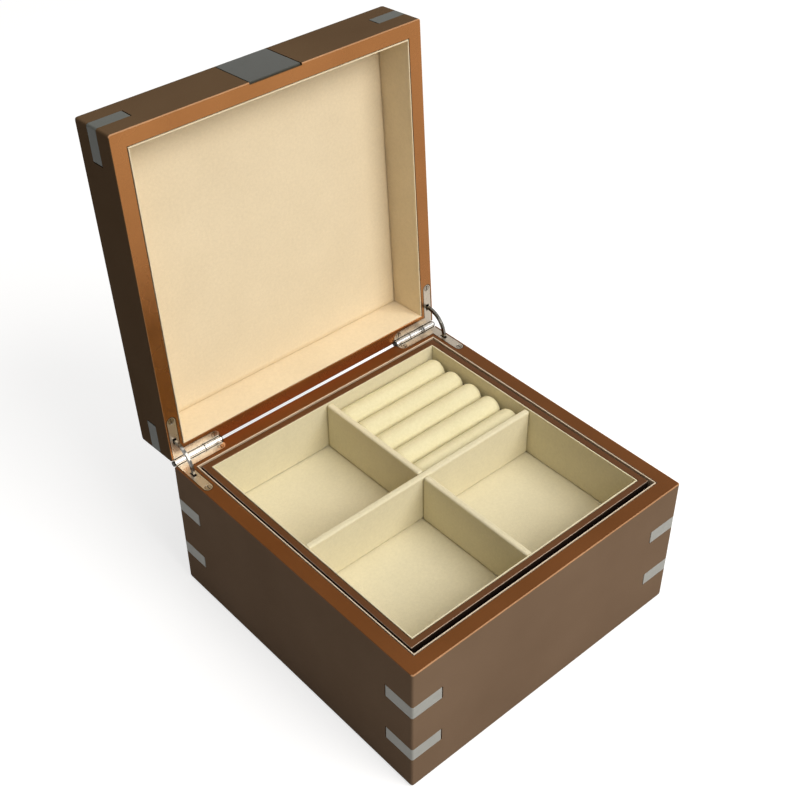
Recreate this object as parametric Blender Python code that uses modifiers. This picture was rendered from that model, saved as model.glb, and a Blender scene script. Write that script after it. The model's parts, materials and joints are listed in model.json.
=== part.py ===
"""Square wooden jewelry box with a hinged lid, a lift-out tray, ring rolls and quadrant stay hinges.

The box stands open. Metres, +Z up, front towards -Y. The origin is the centre of the underside.
"""

import math

import bmesh
import bpy
from mathutils import Matrix, Vector

# Whole box
BOX_WIDTH = 0.220
BOX_DEPTH = 0.220
BASE_HEIGHT = 0.100
LID_HEIGHT = 0.036
RIM_GAP = 0.0009
OPEN_ANGLE = math.radians(94.0)

# Boards and their rounded edges
WALL_THICKNESS = 0.010
BOTTOM_THICKNESS = 0.006
TOP_THICKNESS = 0.006
UPRIGHT_EDGE_RADIUS = 0.0015
BOTTOM_EDGE_RADIUS = 0.0026
TOP_EDGE_RADIUS = 0.0028
EDGE_SEGMENTS = 4

# Clearances, and how far a cutter runs past what it cuts
FIT_GAP = 0.0003
CUT_OVERRUN = 0.002
WELD_DISTANCE = 0.000001

# Velvet linings and pads
LINING_THICKNESS = 0.0007
FLOOR_PAD_THICKNESS = 0.002
LID_PAD_THICKNESS = 0.0026
LID_PAD_CROWN = 0.0012
FLOOR_PAD_CROWN = 0.0008
PAD_CELLS = 10
PAD_POWER = 6

# Corner keys, set flush round each upright edge
KEY_LEG = 0.022
KEY_HEIGHT = 0.0095
KEY_THICKNESS = 0.0016
KEY_GROOVE = 0.001
UPPER_KEY_DROP = 0.032
LOWER_KEY_DROP = 0.0695
LID_KEY_RISE = 0.0175

# Front plate of the lid
PLATE_WIDTH = 0.036
PLATE_THICKNESS = 0.0014
PLATE_GROOVE = 0.0008
PLATE_RIM_SETBACK = 0.001

# Tray and its dividers
TRAY_SIDE_CLEARANCE = 0.0013
TRAY_END_CLEARANCE = 0.0023
TRAY_SHIFT_RIGHT = 0.0004
TRAY_SHIFT_BACK = 0.0017
TRAY_HEIGHT = 0.040
TRAY_DROP = 0.0006
TRAY_WALL = 0.0044
TRAY_BOTTOM = 0.0025
TRAY_VELVET = 0.001
TRAY_LINING = 0.0008
DIVIDER_THICKNESS = 0.0045
DIVIDER_DROP = 0.0006
LEDGE_THICKNESS = 0.008

# Ring rolls and the foam bed under them
ROLL_COUNT = 5
ROLL_DROP = 0.0052
ROLL_END_GAP = 0.0006
ROLL_END_ROUND = 0.0095
ROLL_CROWN = 0.0003
ROLL_SEGMENTS = 24
ROLL_END_STEPS = 5

# Hinge leaves: the long leg lies on the side wall, the short leg on the back wall
HINGE_SETBACK = 0.0004
LEAF_THICKNESS = 0.0014
LEAF_SIDE_INSET = 0.0015
LONG_LEG = 0.033
LONG_LEG_WIDTH = 0.006
SHORT_LEG_WIDTH = 0.0074
LEAF_END_STEPS = 8

# Hinge barrel and pin
BARREL_RADIUS = 0.0024
BARREL_START = 0.001
BARREL_LENGTH = 0.035
KNUCKLE_SHARES = (0.28, 0.36, 0.36)
PIN_RADIUS = 0.001
PIN_CLEARANCE = 0.0001
PIN_HEAD_RADIUS = 0.0017
PIN_HEAD_THICKNESS = 0.0006
ROUND_SEGMENTS = 24

# Curved stay arm, concentric with the hinge
STAY_RADIUS = 0.0155
STAY_WIDTH = 0.0026
STAY_THICKNESS = 0.0016
STAY_HEAD_RADIUS = 0.0019
STAY_HEAD_LENGTH = 0.0032
STAY_STEPS = 20
STAY_HEAD_SEGMENTS = 16

# Countersunk leaf screws
SCREW_HEAD_RADIUS = 0.0019
SCREW_HEAD_DEPTH = 0.0012
SCREW_RADIUS = 0.0009
SCREW_LENGTH = 0.0085
SCREW_TIP = 0.001
SCREW_END_MARGIN = 0.0007
SCREW_SLOT_WIDTH = 0.0006
SCREW_SLOT_DEPTH = 0.0005
SCREW_SEGMENTS = 16

# Levels and half sizes that several pieces share
HALF_WIDTH = BOX_WIDTH / 2
HALF_DEPTH = BOX_DEPTH / 2
RIM_Z = BASE_HEIGHT
AXIS_Y = HALF_DEPTH + HINGE_SETBACK
AXIS_Z = RIM_Z + RIM_GAP / 2
LID_RIM_Z = RIM_Z + RIM_GAP
LID_WALL_HEIGHT = LID_HEIGHT - TOP_THICKNESS - FIT_GAP
LID_TOP_Z = LID_RIM_Z + LID_HEIGHT
OPENING_HALF_WIDTH = HALF_WIDTH - WALL_THICKNESS - FIT_GAP - LINING_THICKNESS
OPENING_HALF_DEPTH = HALF_DEPTH - WALL_THICKNESS - FIT_GAP - LINING_THICKNESS

TRAY_HALF_WIDTH = OPENING_HALF_WIDTH - TRAY_SIDE_CLEARANCE
TRAY_HALF_DEPTH = OPENING_HALF_DEPTH - TRAY_END_CLEARANCE
TRAY_TOP = RIM_Z - TRAY_DROP
TRAY_UNDERSIDE = TRAY_TOP - TRAY_HEIGHT
TRAY_FLOOR = TRAY_UNDERSIDE + TRAY_BOTTOM + FIT_GAP + TRAY_VELVET
TRAY_IN_WIDTH = TRAY_HALF_WIDTH - TRAY_WALL - FIT_GAP
TRAY_IN_DEPTH = TRAY_HALF_DEPTH - TRAY_WALL - FIT_GAP
CELL_EDGE_X = TRAY_IN_WIDTH - TRAY_LINING - FIT_GAP
CELL_EDGE_Y = TRAY_IN_DEPTH - TRAY_LINING - FIT_GAP
DIVIDER_TOP = TRAY_TOP - DIVIDER_DROP

SHORT_LEG = BARREL_START + BARREL_LENGTH
STAY_END_ANGLE = math.asin(
    (RIM_GAP / 2 + LEAF_THICKNESS + FIT_GAP + STAY_HEAD_RADIUS) / STAY_RADIUS
)
STAY_HALF_ANGLE = OPEN_ANGLE / 2 + STAY_END_ANGLE

FINISHES = {
    "lacquer": ((0.155, 0.082, 0.050), 0.34, 0.35),
    "tray_lacquer": ((0.150, 0.062, 0.028), 0.40, 0.25),
    "velvet": ((0.72, 0.62, 0.44), 0.95, 0.0),
    "ring_velvet": ((0.80, 0.73, 0.48), 0.95, 0.0),
    "nickel": ((0.70, 0.68, 0.66), 0.18, 1.0),
    "pewter": ((0.30, 0.31, 0.31), 0.42, 0.9),
}


def clear_scene():
    for old in list(bpy.data.objects):
        bpy.data.objects.remove(old, do_unlink=True)


def new_collection(name, hidden):
    group = bpy.data.collections.new(name)
    group.hide_render = hidden
    bpy.context.scene.collection.children.link(group)
    return group


clear_scene()
PARTS = new_collection("jewelry_box", False)
CUTTERS = new_collection("cutters", True)


def finished(obj, finish):
    """Gives a sub-part its own material, smooth round faces and a place among the parts."""
    color, roughness, metallic = FINISHES[finish]
    material = bpy.data.materials.new(obj.name + "_" + finish)
    material.use_nodes = True
    shader = material.node_tree.nodes["Principled BSDF"]
    shader.inputs["Base Color"].default_value = (*color, 1.0)
    shader.inputs["Roughness"].default_value = roughness
    shader.inputs["Metallic"].default_value = metallic
    obj.data.materials.append(material)
    PARTS.objects.link(obj)
    return obj


def cutter(obj):
    obj.hide_render = True
    obj.display_type = "WIRE"
    CUTTERS.objects.link(obj)
    return obj


def object_of(name, bm, location=(0, 0, 0), rotation=(0, 0, 0)):
    bmesh.ops.recalc_face_normals(bm, faces=bm.faces)
    mesh = bpy.data.meshes.new(name)
    bm.to_mesh(mesh)
    bm.free()
    mesh.shade_smooth()
    mesh.set_sharp_from_angle(angle=math.radians(35))
    obj = bpy.data.objects.new(name, mesh)
    obj.location = location
    obj.rotation_euler = rotation
    return obj


def box(name, low, high):
    """A plain box between two corners, with its origin at its centre."""
    low, high = Vector(low), Vector(high)
    bm = bmesh.new()
    bmesh.ops.create_cube(bm, size=1)
    bmesh.ops.scale(bm, vec=high - low, verts=bm.verts)
    return object_of(name, bm, (low + high) / 2)


def rod(name, radius, start, end, y, z, segments=ROUND_SEGMENTS):
    """A cylinder along X from start to end."""
    bm = bmesh.new()
    bmesh.ops.create_cone(
        bm,
        cap_ends=True,
        segments=segments,
        radius1=radius,
        radius2=radius,
        depth=abs(end - start),
    )
    return object_of(name, bm, ((start + end) / 2, y, z), (0, math.pi / 2, 0))


def outline_solid(name, points, thickness, location, rotation=(0, 0, 0)):
    """A flat outline, thickened evenly on both sides of its plane, as a closed mesh."""
    curve = bpy.data.curves.new(name, "CURVE")
    curve.dimensions = "2D"
    curve.fill_mode = "BOTH"
    curve.extrude = thickness / 2
    spline = curve.splines.new("POLY")
    spline.points.add(len(points) - 1)
    for point, (x, y) in zip(spline.points, points):
        point.co = (x, y, 0.0, 1.0)
    spline.use_cyclic_u = True
    guide = bpy.data.objects.new(name, curve)
    bpy.context.scene.collection.objects.link(guide)
    graph = bpy.context.evaluated_depsgraph_get()
    filled = bpy.data.meshes.new_from_object(guide.evaluated_get(graph))
    bm = bmesh.new()
    bm.from_mesh(filled)
    bmesh.ops.remove_doubles(bm, verts=bm.verts, dist=WELD_DISTANCE)
    bpy.data.objects.remove(guide)
    bpy.data.curves.remove(curve)
    bpy.data.meshes.remove(filled)
    return object_of(name, bm, location, rotation)


def turned(name, profile, segments, location, rotation=(0, 0, 0)):
    """A profile of (radius, height) points, top to bottom, turned about its own Z axis."""
    bm = bmesh.new()
    points = [bm.verts.new((radius, 0, height)) for radius, height in profile]
    for upper, lower in zip(points, points[1:]):
        bm.edges.new((upper, lower))
    mesh = bpy.data.meshes.new(name)
    bm.to_mesh(mesh)
    bm.free()
    obj = bpy.data.objects.new(name, mesh)
    obj.location = location
    obj.rotation_euler = rotation
    screw = obj.modifiers.new("turn", "SCREW")
    screw.steps = segments
    screw.render_steps = segments
    screw.use_merge_vertices = True
    screw.merge_threshold = WELD_DISTANCE
    screw.use_smooth_shade = True
    return obj


def combine(obj, other, operation):
    modifier = obj.modifiers.new(operation.lower(), "BOOLEAN")
    modifier.operation = operation
    modifier.object = other
    return obj


def cut(obj, *others):
    for other in others:
        combine(obj, other, "DIFFERENCE")
    return obj


def arc(centre, radius, start, end, steps):
    """Points round a centre, from one angle to the other in radians."""
    turns = [start + (end - start) * step / steps for step in range(steps + 1)]
    return [
        (centre[0] + radius * math.cos(turn), centre[1] + radius * math.sin(turn))
        for turn in turns
    ]


def mitred_outline(length):
    """A wall seen from above: outer face at 0, mitred ends, half of each rounded edge."""
    radius = UPRIGHT_EDGE_RADIUS
    half = length / 2
    cut_back = FIT_GAP / math.sqrt(2)
    first = math.radians(225) + math.asin(FIT_GAP / 2 / radius)
    left = arc((radius - half, radius), radius, first, math.radians(270), EDGE_SEGMENTS)
    right = [(-x, y) for x, y in reversed(left)]
    inner = half - WALL_THICKNESS - cut_back
    return left + right + [(inner, WALL_THICKNESS), (-inner, WALL_THICKNESS)]


SIDES = {
    "front": (0, BOX_WIDTH, (0, -HALF_DEPTH)),
    "right": (math.pi / 2, BOX_DEPTH, (HALF_WIDTH, 0)),
    "back": (math.pi, BOX_WIDTH, (0, HALF_DEPTH)),
    "left": (-math.pi / 2, BOX_DEPTH, (-HALF_WIDTH, 0)),
}
CORNERS = {
    "front_left": (0, (-HALF_WIDTH, -HALF_DEPTH)),
    "front_right": (math.pi / 2, (HALF_WIDTH, -HALF_DEPTH)),
    "rear_right": (math.pi, (HALF_WIDTH, HALF_DEPTH)),
    "rear_left": (-math.pi / 2, (-HALF_WIDTH, HALF_DEPTH)),
}
HANDS = {"left": -1, "right": 1}


def mitred_walls(prefix, low, high):
    """The four walls of the base or of the lid, by side."""
    walls = {}
    for side, (turn, length, (x, y)) in SIDES.items():
        wall = outline_solid(
            f"{prefix}_{side}_wall",
            mitred_outline(length),
            high - low,
            (x, y, (low + high) / 2),
            (0, 0, turn),
        )
        walls[side] = finished(wall, "lacquer")
    return walls


def rounded_panel(name, low, high, radius, edge_is_up):
    """A panel over the whole plan, with rounded upright edges and one rounder rim."""
    bm = bmesh.new()
    bmesh.ops.create_cube(bm, size=1)
    bmesh.ops.scale(bm, vec=(BOX_WIDTH, BOX_DEPTH, high - low), verts=bm.verts)
    share = bm.edges.layers.float.new("bevel_weight_edge")
    side = 1 if edge_is_up else -1
    for edge in bm.edges:
        ends = [vert.co.z * side > 0 for vert in edge.verts]
        if all(ends):
            edge[share] = radius / max(radius, UPRIGHT_EDGE_RADIUS)
        elif any(ends):
            edge[share] = UPRIGHT_EDGE_RADIUS / max(radius, UPRIGHT_EDGE_RADIUS)
    panel = object_of(name, bm, (0, 0, (low + high) / 2))
    rounding = panel.modifiers.new("rounding", "BEVEL")
    rounding.limit_method = "WEIGHT"
    rounding.width = max(radius, UPRIGHT_EDGE_RADIUS)
    rounding.segments = EDGE_SEGMENTS
    return finished(panel, "lacquer")


def ring(name, half_width, half_depth, thickness, low, high, centre=(0, 0)):
    """A folded lining: a thin upright band round the inside of four walls."""
    x, y = centre
    hollow = cutter(
        box(
            name + "_hollow",
            (x - half_width + thickness, y - half_depth + thickness, low - CUT_OVERRUN),
            (x + half_width - thickness, y + half_depth - thickness, high + CUT_OVERRUN),
        )
    )
    band = box(
        name,
        (x - half_width, y - half_depth, low),
        (x + half_width, y + half_depth, high),
    )
    return finished(cut(band, hollow), "velvet")


def key_outline():
    """A corner key seen from above, its corner at the origin and its legs along +X and +Y."""
    rounded = arc(
        (UPRIGHT_EDGE_RADIUS, UPRIGHT_EDGE_RADIUS),
        UPRIGHT_EDGE_RADIUS,
        math.pi,
        math.pi * 3 / 2,
        EDGE_SEGMENTS,
    )
    return rounded + [
        (KEY_LEG, 0),
        (KEY_LEG, KEY_THICKNESS),
        (KEY_THICKNESS, KEY_THICKNESS),
        (KEY_THICKNESS, KEY_LEG),
        (0, KEY_LEG),
    ]


def key_slot_outline():
    """The recess for a key, with a groove left open past each end."""
    reach = KEY_LEG + KEY_GROOVE
    depth = KEY_THICKNESS + FIT_GAP
    return [
        (-CUT_OVERRUN, -CUT_OVERRUN),
        (reach, -CUT_OVERRUN),
        (reach, depth),
        (depth, depth),
        (depth, reach),
        (-CUT_OVERRUN, reach),
    ]


def corner_keys(prefix, suffix, level, walls):
    """Keys at the four corners, and their recesses in the walls that meet there."""
    for corner, (turn, (x, y)) in CORNERS.items():
        name = f"{prefix}_key_{corner}{suffix}"
        place = (x, y, level)
        key = outline_solid(name, key_outline(), KEY_HEIGHT, place, (0, 0, turn))
        finished(key, "pewter")
        slot_height = KEY_HEIGHT + 2 * FIT_GAP
        slot = outline_solid(
            name + "_slot", key_slot_outline(), slot_height, place, (0, 0, turn)
        )
        cutter(slot)
        end, side = corner.split("_")
        cut(walls[{"front": "front", "rear": "back"}[end]], slot)
        cut(walls[side], slot)


def plate_profile(inner, outer, low):
    """The front plate or its recess, seen from the side: up the front and over the edge.

    The lid's front face is at 0, its depth runs along +X, and its height runs along +Y.
    """
    high = LID_HEIGHT
    radius = TOP_EDGE_RADIUS
    centre = (radius, high - radius)
    outside = arc(centre, radius + outer, math.pi, math.pi / 2, EDGE_SEGMENTS * 2)
    inside = arc(centre, radius - inner, math.pi / 2, math.pi, EDGE_SEGMENTS * 2)
    return [(-outer, low)] + outside + inside + [(inner, low)]


def front_plate(walls, panel):
    """The metal plate over the lid's front, and its recess with a groove at each side."""
    upright = (math.pi / 2, 0, math.pi / 2)
    place = (0, -HALF_DEPTH, LID_RIM_Z)
    plate = outline_solid(
        "lid_front_plate",
        plate_profile(PLATE_THICKNESS, 0, PLATE_RIM_SETBACK),
        PLATE_WIDTH,
        place,
        upright,
    )
    recess = outline_solid(
        "lid_front_plate_recess",
        plate_profile(PLATE_THICKNESS + FIT_GAP, CUT_OVERRUN, -CUT_OVERRUN),
        PLATE_WIDTH + 2 * PLATE_GROOVE,
        place,
        upright,
    )
    cutter(recess)
    cut(walls["front"], recess)
    cut(panel, recess)
    return finished(plate, "pewter")


def pillow(name, half_width, half_depth, level, thickness, crown, up):
    """A padded panel: flat back at its level, face drawn down to its edges and crowned."""
    bm = bmesh.new()
    bmesh.ops.create_grid(bm, x_segments=PAD_CELLS, y_segments=PAD_CELLS, size=1)
    for vert in bm.verts:
        across = 1 - abs(vert.co.x) ** PAD_POWER
        along = 1 - abs(vert.co.y) ** PAD_POWER
        soft = math.sqrt(max(across * along, 0))
        vert.co = (
            vert.co.x * half_width,
            vert.co.y * half_depth,
            up * (thickness + crown * soft),
        )
    lifted = bmesh.ops.extrude_face_region(bm, geom=list(bm.faces))["geom"]
    for vert in [item for item in lifted if isinstance(item, bmesh.types.BMVert)]:
        vert.co.z = 0
    return finished(object_of(name, bm, (0, 0, level)), "velvet")


def base():
    """The lower box with its lining, floor pad, tray ledges and corner keys."""
    walls = mitred_walls("base", BOTTOM_THICKNESS + FIT_GAP, RIM_Z)
    rounded_panel("base_bottom_panel", 0, BOTTOM_THICKNESS, BOTTOM_EDGE_RADIUS, False)
    corner_keys("base", "_upper", RIM_Z - UPPER_KEY_DROP, walls)
    corner_keys("base", "_lower", RIM_Z - LOWER_KEY_DROP, walls)
    ring(
        "base_lining",
        HALF_WIDTH - WALL_THICKNESS - FIT_GAP,
        HALF_DEPTH - WALL_THICKNESS - FIT_GAP,
        LINING_THICKNESS,
        BOTTOM_THICKNESS + FIT_GAP,
        RIM_Z,
    )
    pad_width = OPENING_HALF_WIDTH - FIT_GAP
    pad_depth = OPENING_HALF_DEPTH - FIT_GAP
    pillow(
        "base_floor_pad",
        pad_width - LEDGE_THICKNESS - FIT_GAP,
        pad_depth,
        BOTTOM_THICKNESS + FIT_GAP,
        FLOOR_PAD_THICKNESS,
        FLOOR_PAD_CROWN,
        1,
    )
    for side, sign in HANDS.items():
        outer = sign * (OPENING_HALF_WIDTH - FIT_GAP)
        inner = sign * (OPENING_HALF_WIDTH - FIT_GAP - LEDGE_THICKNESS)
        ledge = box(
            f"tray_ledge_{side}",
            (min(outer, inner), -pad_depth, BOTTOM_THICKNESS + FIT_GAP),
            (max(outer, inner), pad_depth, TRAY_UNDERSIDE - FIT_GAP),
        )
        finished(ledge, "velvet")
    return walls


def lid():
    """The lid, closed: walls, top panel, lining, pad, keys and front plate."""
    walls = mitred_walls("lid", LID_RIM_Z, LID_RIM_Z + LID_WALL_HEIGHT)
    panel_low = LID_TOP_Z - TOP_THICKNESS
    panel = rounded_panel("lid_top_panel", panel_low, LID_TOP_Z, TOP_EDGE_RADIUS, True)
    ring(
        "lid_lining",
        HALF_WIDTH - WALL_THICKNESS - FIT_GAP,
        HALF_DEPTH - WALL_THICKNESS - FIT_GAP,
        LINING_THICKNESS,
        LID_RIM_Z,
        panel_low - FIT_GAP,
    )
    pillow(
        "lid_top_pad",
        OPENING_HALF_WIDTH - FIT_GAP,
        OPENING_HALF_DEPTH - FIT_GAP,
        panel_low - FIT_GAP,
        LID_PAD_THICKNESS,
        LID_PAD_CROWN,
        -1,
    )
    corner_keys("lid", "", LID_RIM_Z + LID_KEY_RISE, walls)
    front_plate(walls, panel)
    return walls


def tray():
    """The lift-out tray, pushed towards the back right corner as it stands."""
    x, y = TRAY_SHIFT_RIGHT, TRAY_SHIFT_BACK
    half_width, half_depth = TRAY_HALF_WIDTH, TRAY_HALF_DEPTH
    side_depth = half_depth - TRAY_WALL - FIT_GAP
    spans = {
        "front": ((-half_width, -half_depth), (half_width, TRAY_WALL - half_depth)),
        "back": ((-half_width, half_depth - TRAY_WALL), (half_width, half_depth)),
        "left": ((-half_width, -side_depth), (TRAY_WALL - half_width, side_depth)),
        "right": ((half_width - TRAY_WALL, -side_depth), (half_width, side_depth)),
    }
    for side, (low, high) in spans.items():
        wall = box(
            f"tray_{side}_wall",
            (x + low[0], y + low[1], TRAY_UNDERSIDE),
            (x + high[0], y + high[1], TRAY_TOP),
        )
        finished(wall, "tray_lacquer")
    board = box(
        "tray_bottom",
        (x - TRAY_IN_WIDTH, y - TRAY_IN_DEPTH, TRAY_UNDERSIDE),
        (x + TRAY_IN_WIDTH, y + TRAY_IN_DEPTH, TRAY_UNDERSIDE + TRAY_BOTTOM),
    )
    finished(board, "tray_lacquer")
    velvet = box(
        "tray_floor_velvet",
        (x - TRAY_IN_WIDTH, y - TRAY_IN_DEPTH, TRAY_FLOOR - TRAY_VELVET),
        (x + TRAY_IN_WIDTH, y + TRAY_IN_DEPTH, TRAY_FLOOR),
    )
    finished(velvet, "velvet")
    ring(
        "tray_lining",
        TRAY_IN_WIDTH,
        TRAY_IN_DEPTH,
        TRAY_LINING,
        TRAY_FLOOR + FIT_GAP,
        TRAY_TOP,
        (x, y),
    )
    dividers(x, y)


def dividers(x, y):
    """Two boards, each notched for half its height where they cross."""
    low = TRAY_FLOOR + FIT_GAP
    middle = (low + DIVIDER_TOP) / 2
    half = DIVIDER_THICKNESS / 2
    notch = half + FIT_GAP
    across = box(
        "tray_divider_across",
        (x - CELL_EDGE_X, y - half, low),
        (x + CELL_EDGE_X, y + half, DIVIDER_TOP),
    )
    along = box(
        "tray_divider_along",
        (x - half, y - CELL_EDGE_Y, low),
        (x + half, y + CELL_EDGE_Y, DIVIDER_TOP),
    )
    upper_notch = box(
        "upper_notch",
        (x - notch, y - half - CUT_OVERRUN, middle - FIT_GAP / 2),
        (x + notch, y + half + CUT_OVERRUN, DIVIDER_TOP + CUT_OVERRUN),
    )
    lower_notch = box(
        "lower_notch",
        (x - half - CUT_OVERRUN, y - notch, low - CUT_OVERRUN),
        (x + half + CUT_OVERRUN, y + notch, middle + FIT_GAP / 2),
    )
    finished(cut(across, cutter(upper_notch)), "velvet")
    finished(cut(along, cutter(lower_notch)), "velvet")


def roll_profile(length, radius):
    """A stuffed roll: rounded ends and a slight crown, from its top end to its bottom end."""
    half = length / 2
    straight = half - ROLL_END_ROUND
    end = [
        (
            (radius - ROLL_CROWN) * math.sin(math.pi / 2 * step / ROLL_END_STEPS),
            straight + ROLL_END_ROUND * math.cos(math.pi / 2 * step / ROLL_END_STEPS),
        )
        for step in range(ROLL_END_STEPS + 1)
    ]
    return end + [(radius, 0)] + [(r, -z) for r, z in reversed(end)]


def ring_rolls():
    """The row of velvet rolls across the back right compartment, and their foam bed."""
    left = TRAY_SHIFT_RIGHT + DIVIDER_THICKNESS / 2 + FIT_GAP
    right = TRAY_SHIFT_RIGHT + CELL_EDGE_X
    front = TRAY_SHIFT_BACK + DIVIDER_THICKNESS / 2
    back = TRAY_SHIFT_BACK + CELL_EDGE_Y
    pitch = (back - front) / ROLL_COUNT
    radius = (pitch - FIT_GAP) / 2
    centre_z = TRAY_TOP - ROLL_DROP - radius
    bed = box(
        "ring_roll_bed",
        (left, front + FIT_GAP, TRAY_FLOOR + FIT_GAP),
        (right, back, centre_z - radius - FIT_GAP),
    )
    finished(bed, "ring_velvet")
    length = right - left - ROLL_END_GAP
    for index in range(ROLL_COUNT):
        roll = turned(
            f"ring_roll_{index + 1}",
            roll_profile(length, radius),
            ROLL_SEGMENTS,
            (left + length / 2, front + pitch * (index + 0.5), centre_z),
            (0, math.pi / 2, 0),
        )
        finished(roll, "ring_velvet")


def leaf_outline(sign, grow):
    """An L-shaped leaf seen from above: one leg along the side wall, one along the back."""
    near = LEAF_SIDE_INSET - grow
    far = LEAF_SIDE_INSET + LONG_LEG_WIDTH + grow
    long_radius = LONG_LEG_WIDTH / 2 + grow
    short_radius = SHORT_LEG_WIDTH / 2 + grow
    rear = -grow
    long_end = arc(
        (LEAF_SIDE_INSET + LONG_LEG_WIDTH / 2, LONG_LEG - LONG_LEG_WIDTH / 2),
        long_radius,
        0,
        math.pi,
        LEAF_END_STEPS,
    )
    short_end = arc(
        (SHORT_LEG - SHORT_LEG_WIDTH / 2, SHORT_LEG_WIDTH / 2),
        short_radius,
        -math.pi / 2,
        math.pi / 2,
        LEAF_END_STEPS,
    )
    points = [(near, rear)] + short_end + [(far, SHORT_LEG_WIDTH + grow)] + long_end
    return [(sign * (HALF_WIDTH - u), HALF_DEPTH - v) for u, v in points]


def knuckle_spans(sign):
    """Start and end of each knuckle along X, from the outer end inwards."""
    start = BARREL_START
    spans = []
    for share in KNUCKLE_SHARES:
        end = start + BARREL_LENGTH * share
        spans.append(
            (
                sign * (HALF_WIDTH - start - FIT_GAP / 2),
                sign * (HALF_WIDTH - end + FIT_GAP / 2),
            )
        )
        start = end
    return spans


def screw_profile():
    """A countersunk screw, its head's flat top at 0, and its tip pointing down."""
    return [
        (0, 0),
        (SCREW_HEAD_RADIUS, 0),
        (SCREW_RADIUS, -SCREW_HEAD_DEPTH),
        (SCREW_RADIUS, SCREW_TIP - SCREW_LENGTH),
        (0, -SCREW_LENGTH),
    ]


def screw_hole_profile():
    """The countersunk hole that a leaf screw sits in with clearance."""
    depth = SCREW_HEAD_DEPTH + FIT_GAP
    flare = CUT_OVERRUN * (SCREW_HEAD_RADIUS - SCREW_RADIUS) / depth
    return [
        (0, CUT_OVERRUN),
        (SCREW_HEAD_RADIUS + FIT_GAP + flare, CUT_OVERRUN),
        (SCREW_RADIUS + FIT_GAP, -depth),
        (SCREW_RADIUS + FIT_GAP, SCREW_TIP - SCREW_LENGTH),
        (0, -SCREW_LENGTH - FIT_GAP),
    ]


def leaf_screws(name, sign, level, up, targets):
    """The two screws of a leaf with slotted heads, and their holes in leaf and walls."""
    places = {
        "long": (
            LEAF_SIDE_INSET + LONG_LEG_WIDTH / 2,
            LONG_LEG - SCREW_END_MARGIN - SCREW_HEAD_RADIUS,
        ),
        "short": (
            SHORT_LEG - SHORT_LEG_WIDTH / 2,
            SHORT_LEG_WIDTH - SCREW_END_MARGIN - SCREW_HEAD_RADIUS,
        ),
    }
    turn = (0, 0, 0) if up > 0 else (math.pi, 0, 0)
    for leg, (u, v) in places.items():
        x, y = sign * (HALF_WIDTH - u), HALF_DEPTH - v
        screw_name = f"{name}_screw_{leg}"
        screw = turned(screw_name, screw_profile(), SCREW_SEGMENTS, (x, y, level), turn)
        hole = turned(
            screw_name + "_hole", screw_hole_profile(), SCREW_SEGMENTS, (x, y, level), turn
        )
        half = SCREW_HEAD_RADIUS + CUT_OVERRUN
        depth = sorted((level - up * SCREW_SLOT_DEPTH, level + up * CUT_OVERRUN))
        slot = box(
            screw_name + "_slot",
            (x - SCREW_SLOT_WIDTH / 2, y - half, depth[0]),
            (x + SCREW_SLOT_WIDTH / 2, y + half, depth[1]),
        )
        finished(cut(screw, cutter(slot)), "nickel")
        cutter(hole)
        for target in targets:
            cut(target, hole)


def stay_x(sign):
    """The middle of the long leg, where the stay arm runs through the leaves."""
    return sign * (HALF_WIDTH - LEAF_SIDE_INSET - LONG_LEG_WIDTH / 2)


def leaf(name, sign, up, own, other, walls):
    """One L-shaped leaf with its knuckles, let into the rim of the walls that carry it.

    up is 1 for the base leaf, whose face looks up, and -1 for the closed lid's leaf.
    """
    level = AXIS_Z - up * RIM_GAP / 2
    middle = level - up * LEAF_THICKNESS / 2
    plate = outline_solid(name, leaf_outline(sign, 0), LEAF_THICKNESS, (0, 0, middle))
    spans = knuckle_spans(sign)
    for index in other:
        start, end = spans[index]
        clear = rod(
            f"{name}_clear_{index}",
            BARREL_RADIUS + FIT_GAP,
            start + sign * 2 * FIT_GAP,
            end - sign * 2 * FIT_GAP,
            AXIS_Y,
            AXIS_Z,
        )
        cut(plate, cutter(clear))
    for index in own:
        start, end = spans[index]
        knuckle = rod(f"{name}_knuckle_{index}", BARREL_RADIUS, start, end, AXIS_Y, AXIS_Z)
        combine(plate, cutter(knuckle), "UNION")
    bore = rod(
        name + "_bore",
        PIN_RADIUS + PIN_CLEARANCE,
        sign * HALF_WIDTH,
        sign * (HALF_WIDTH - BARREL_START - BARREL_LENGTH - CUT_OVERRUN),
        AXIS_Y,
        AXIS_Z,
    )
    half_slot = STAY_THICKNESS / 2 + FIT_GAP
    slot_reach = STAY_WIDTH / 2 + FIT_GAP
    slot_y = AXIS_Y - STAY_RADIUS
    slot = box(
        name + "_stay_slot",
        (stay_x(sign) - half_slot, slot_y - slot_reach, middle - LEAF_THICKNESS),
        (stay_x(sign) + half_slot, slot_y + slot_reach, middle + LEAF_THICKNESS),
    )
    cut(plate, cutter(bore), cutter(slot))
    mortise = outline_solid(
        name + "_mortise",
        leaf_outline(sign, FIT_GAP),
        LEAF_THICKNESS + FIT_GAP + CUT_OVERRUN,
        (0, 0, level - up * (LEAF_THICKNESS + FIT_GAP - CUT_OVERRUN) / 2),
    )
    cutter(mortise)
    for wall in walls:
        cut(wall, mortise)
    finished(plate, "nickel")
    leaf_screws(name, sign, level, up, [plate, *walls])


def barrel_notch(name, sign, walls):
    """The hollow along a rear edge in which the barrel turns."""
    end = BARREL_START + BARREL_LENGTH + PIN_HEAD_THICKNESS + 2 * FIT_GAP
    notch = rod(
        name,
        BARREL_RADIUS + FIT_GAP,
        sign * (HALF_WIDTH + CUT_OVERRUN),
        sign * (HALF_WIDTH - end),
        AXIS_Y,
        AXIS_Z,
    )
    cutter(notch)
    for wall in walls:
        cut(wall, notch)


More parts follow.
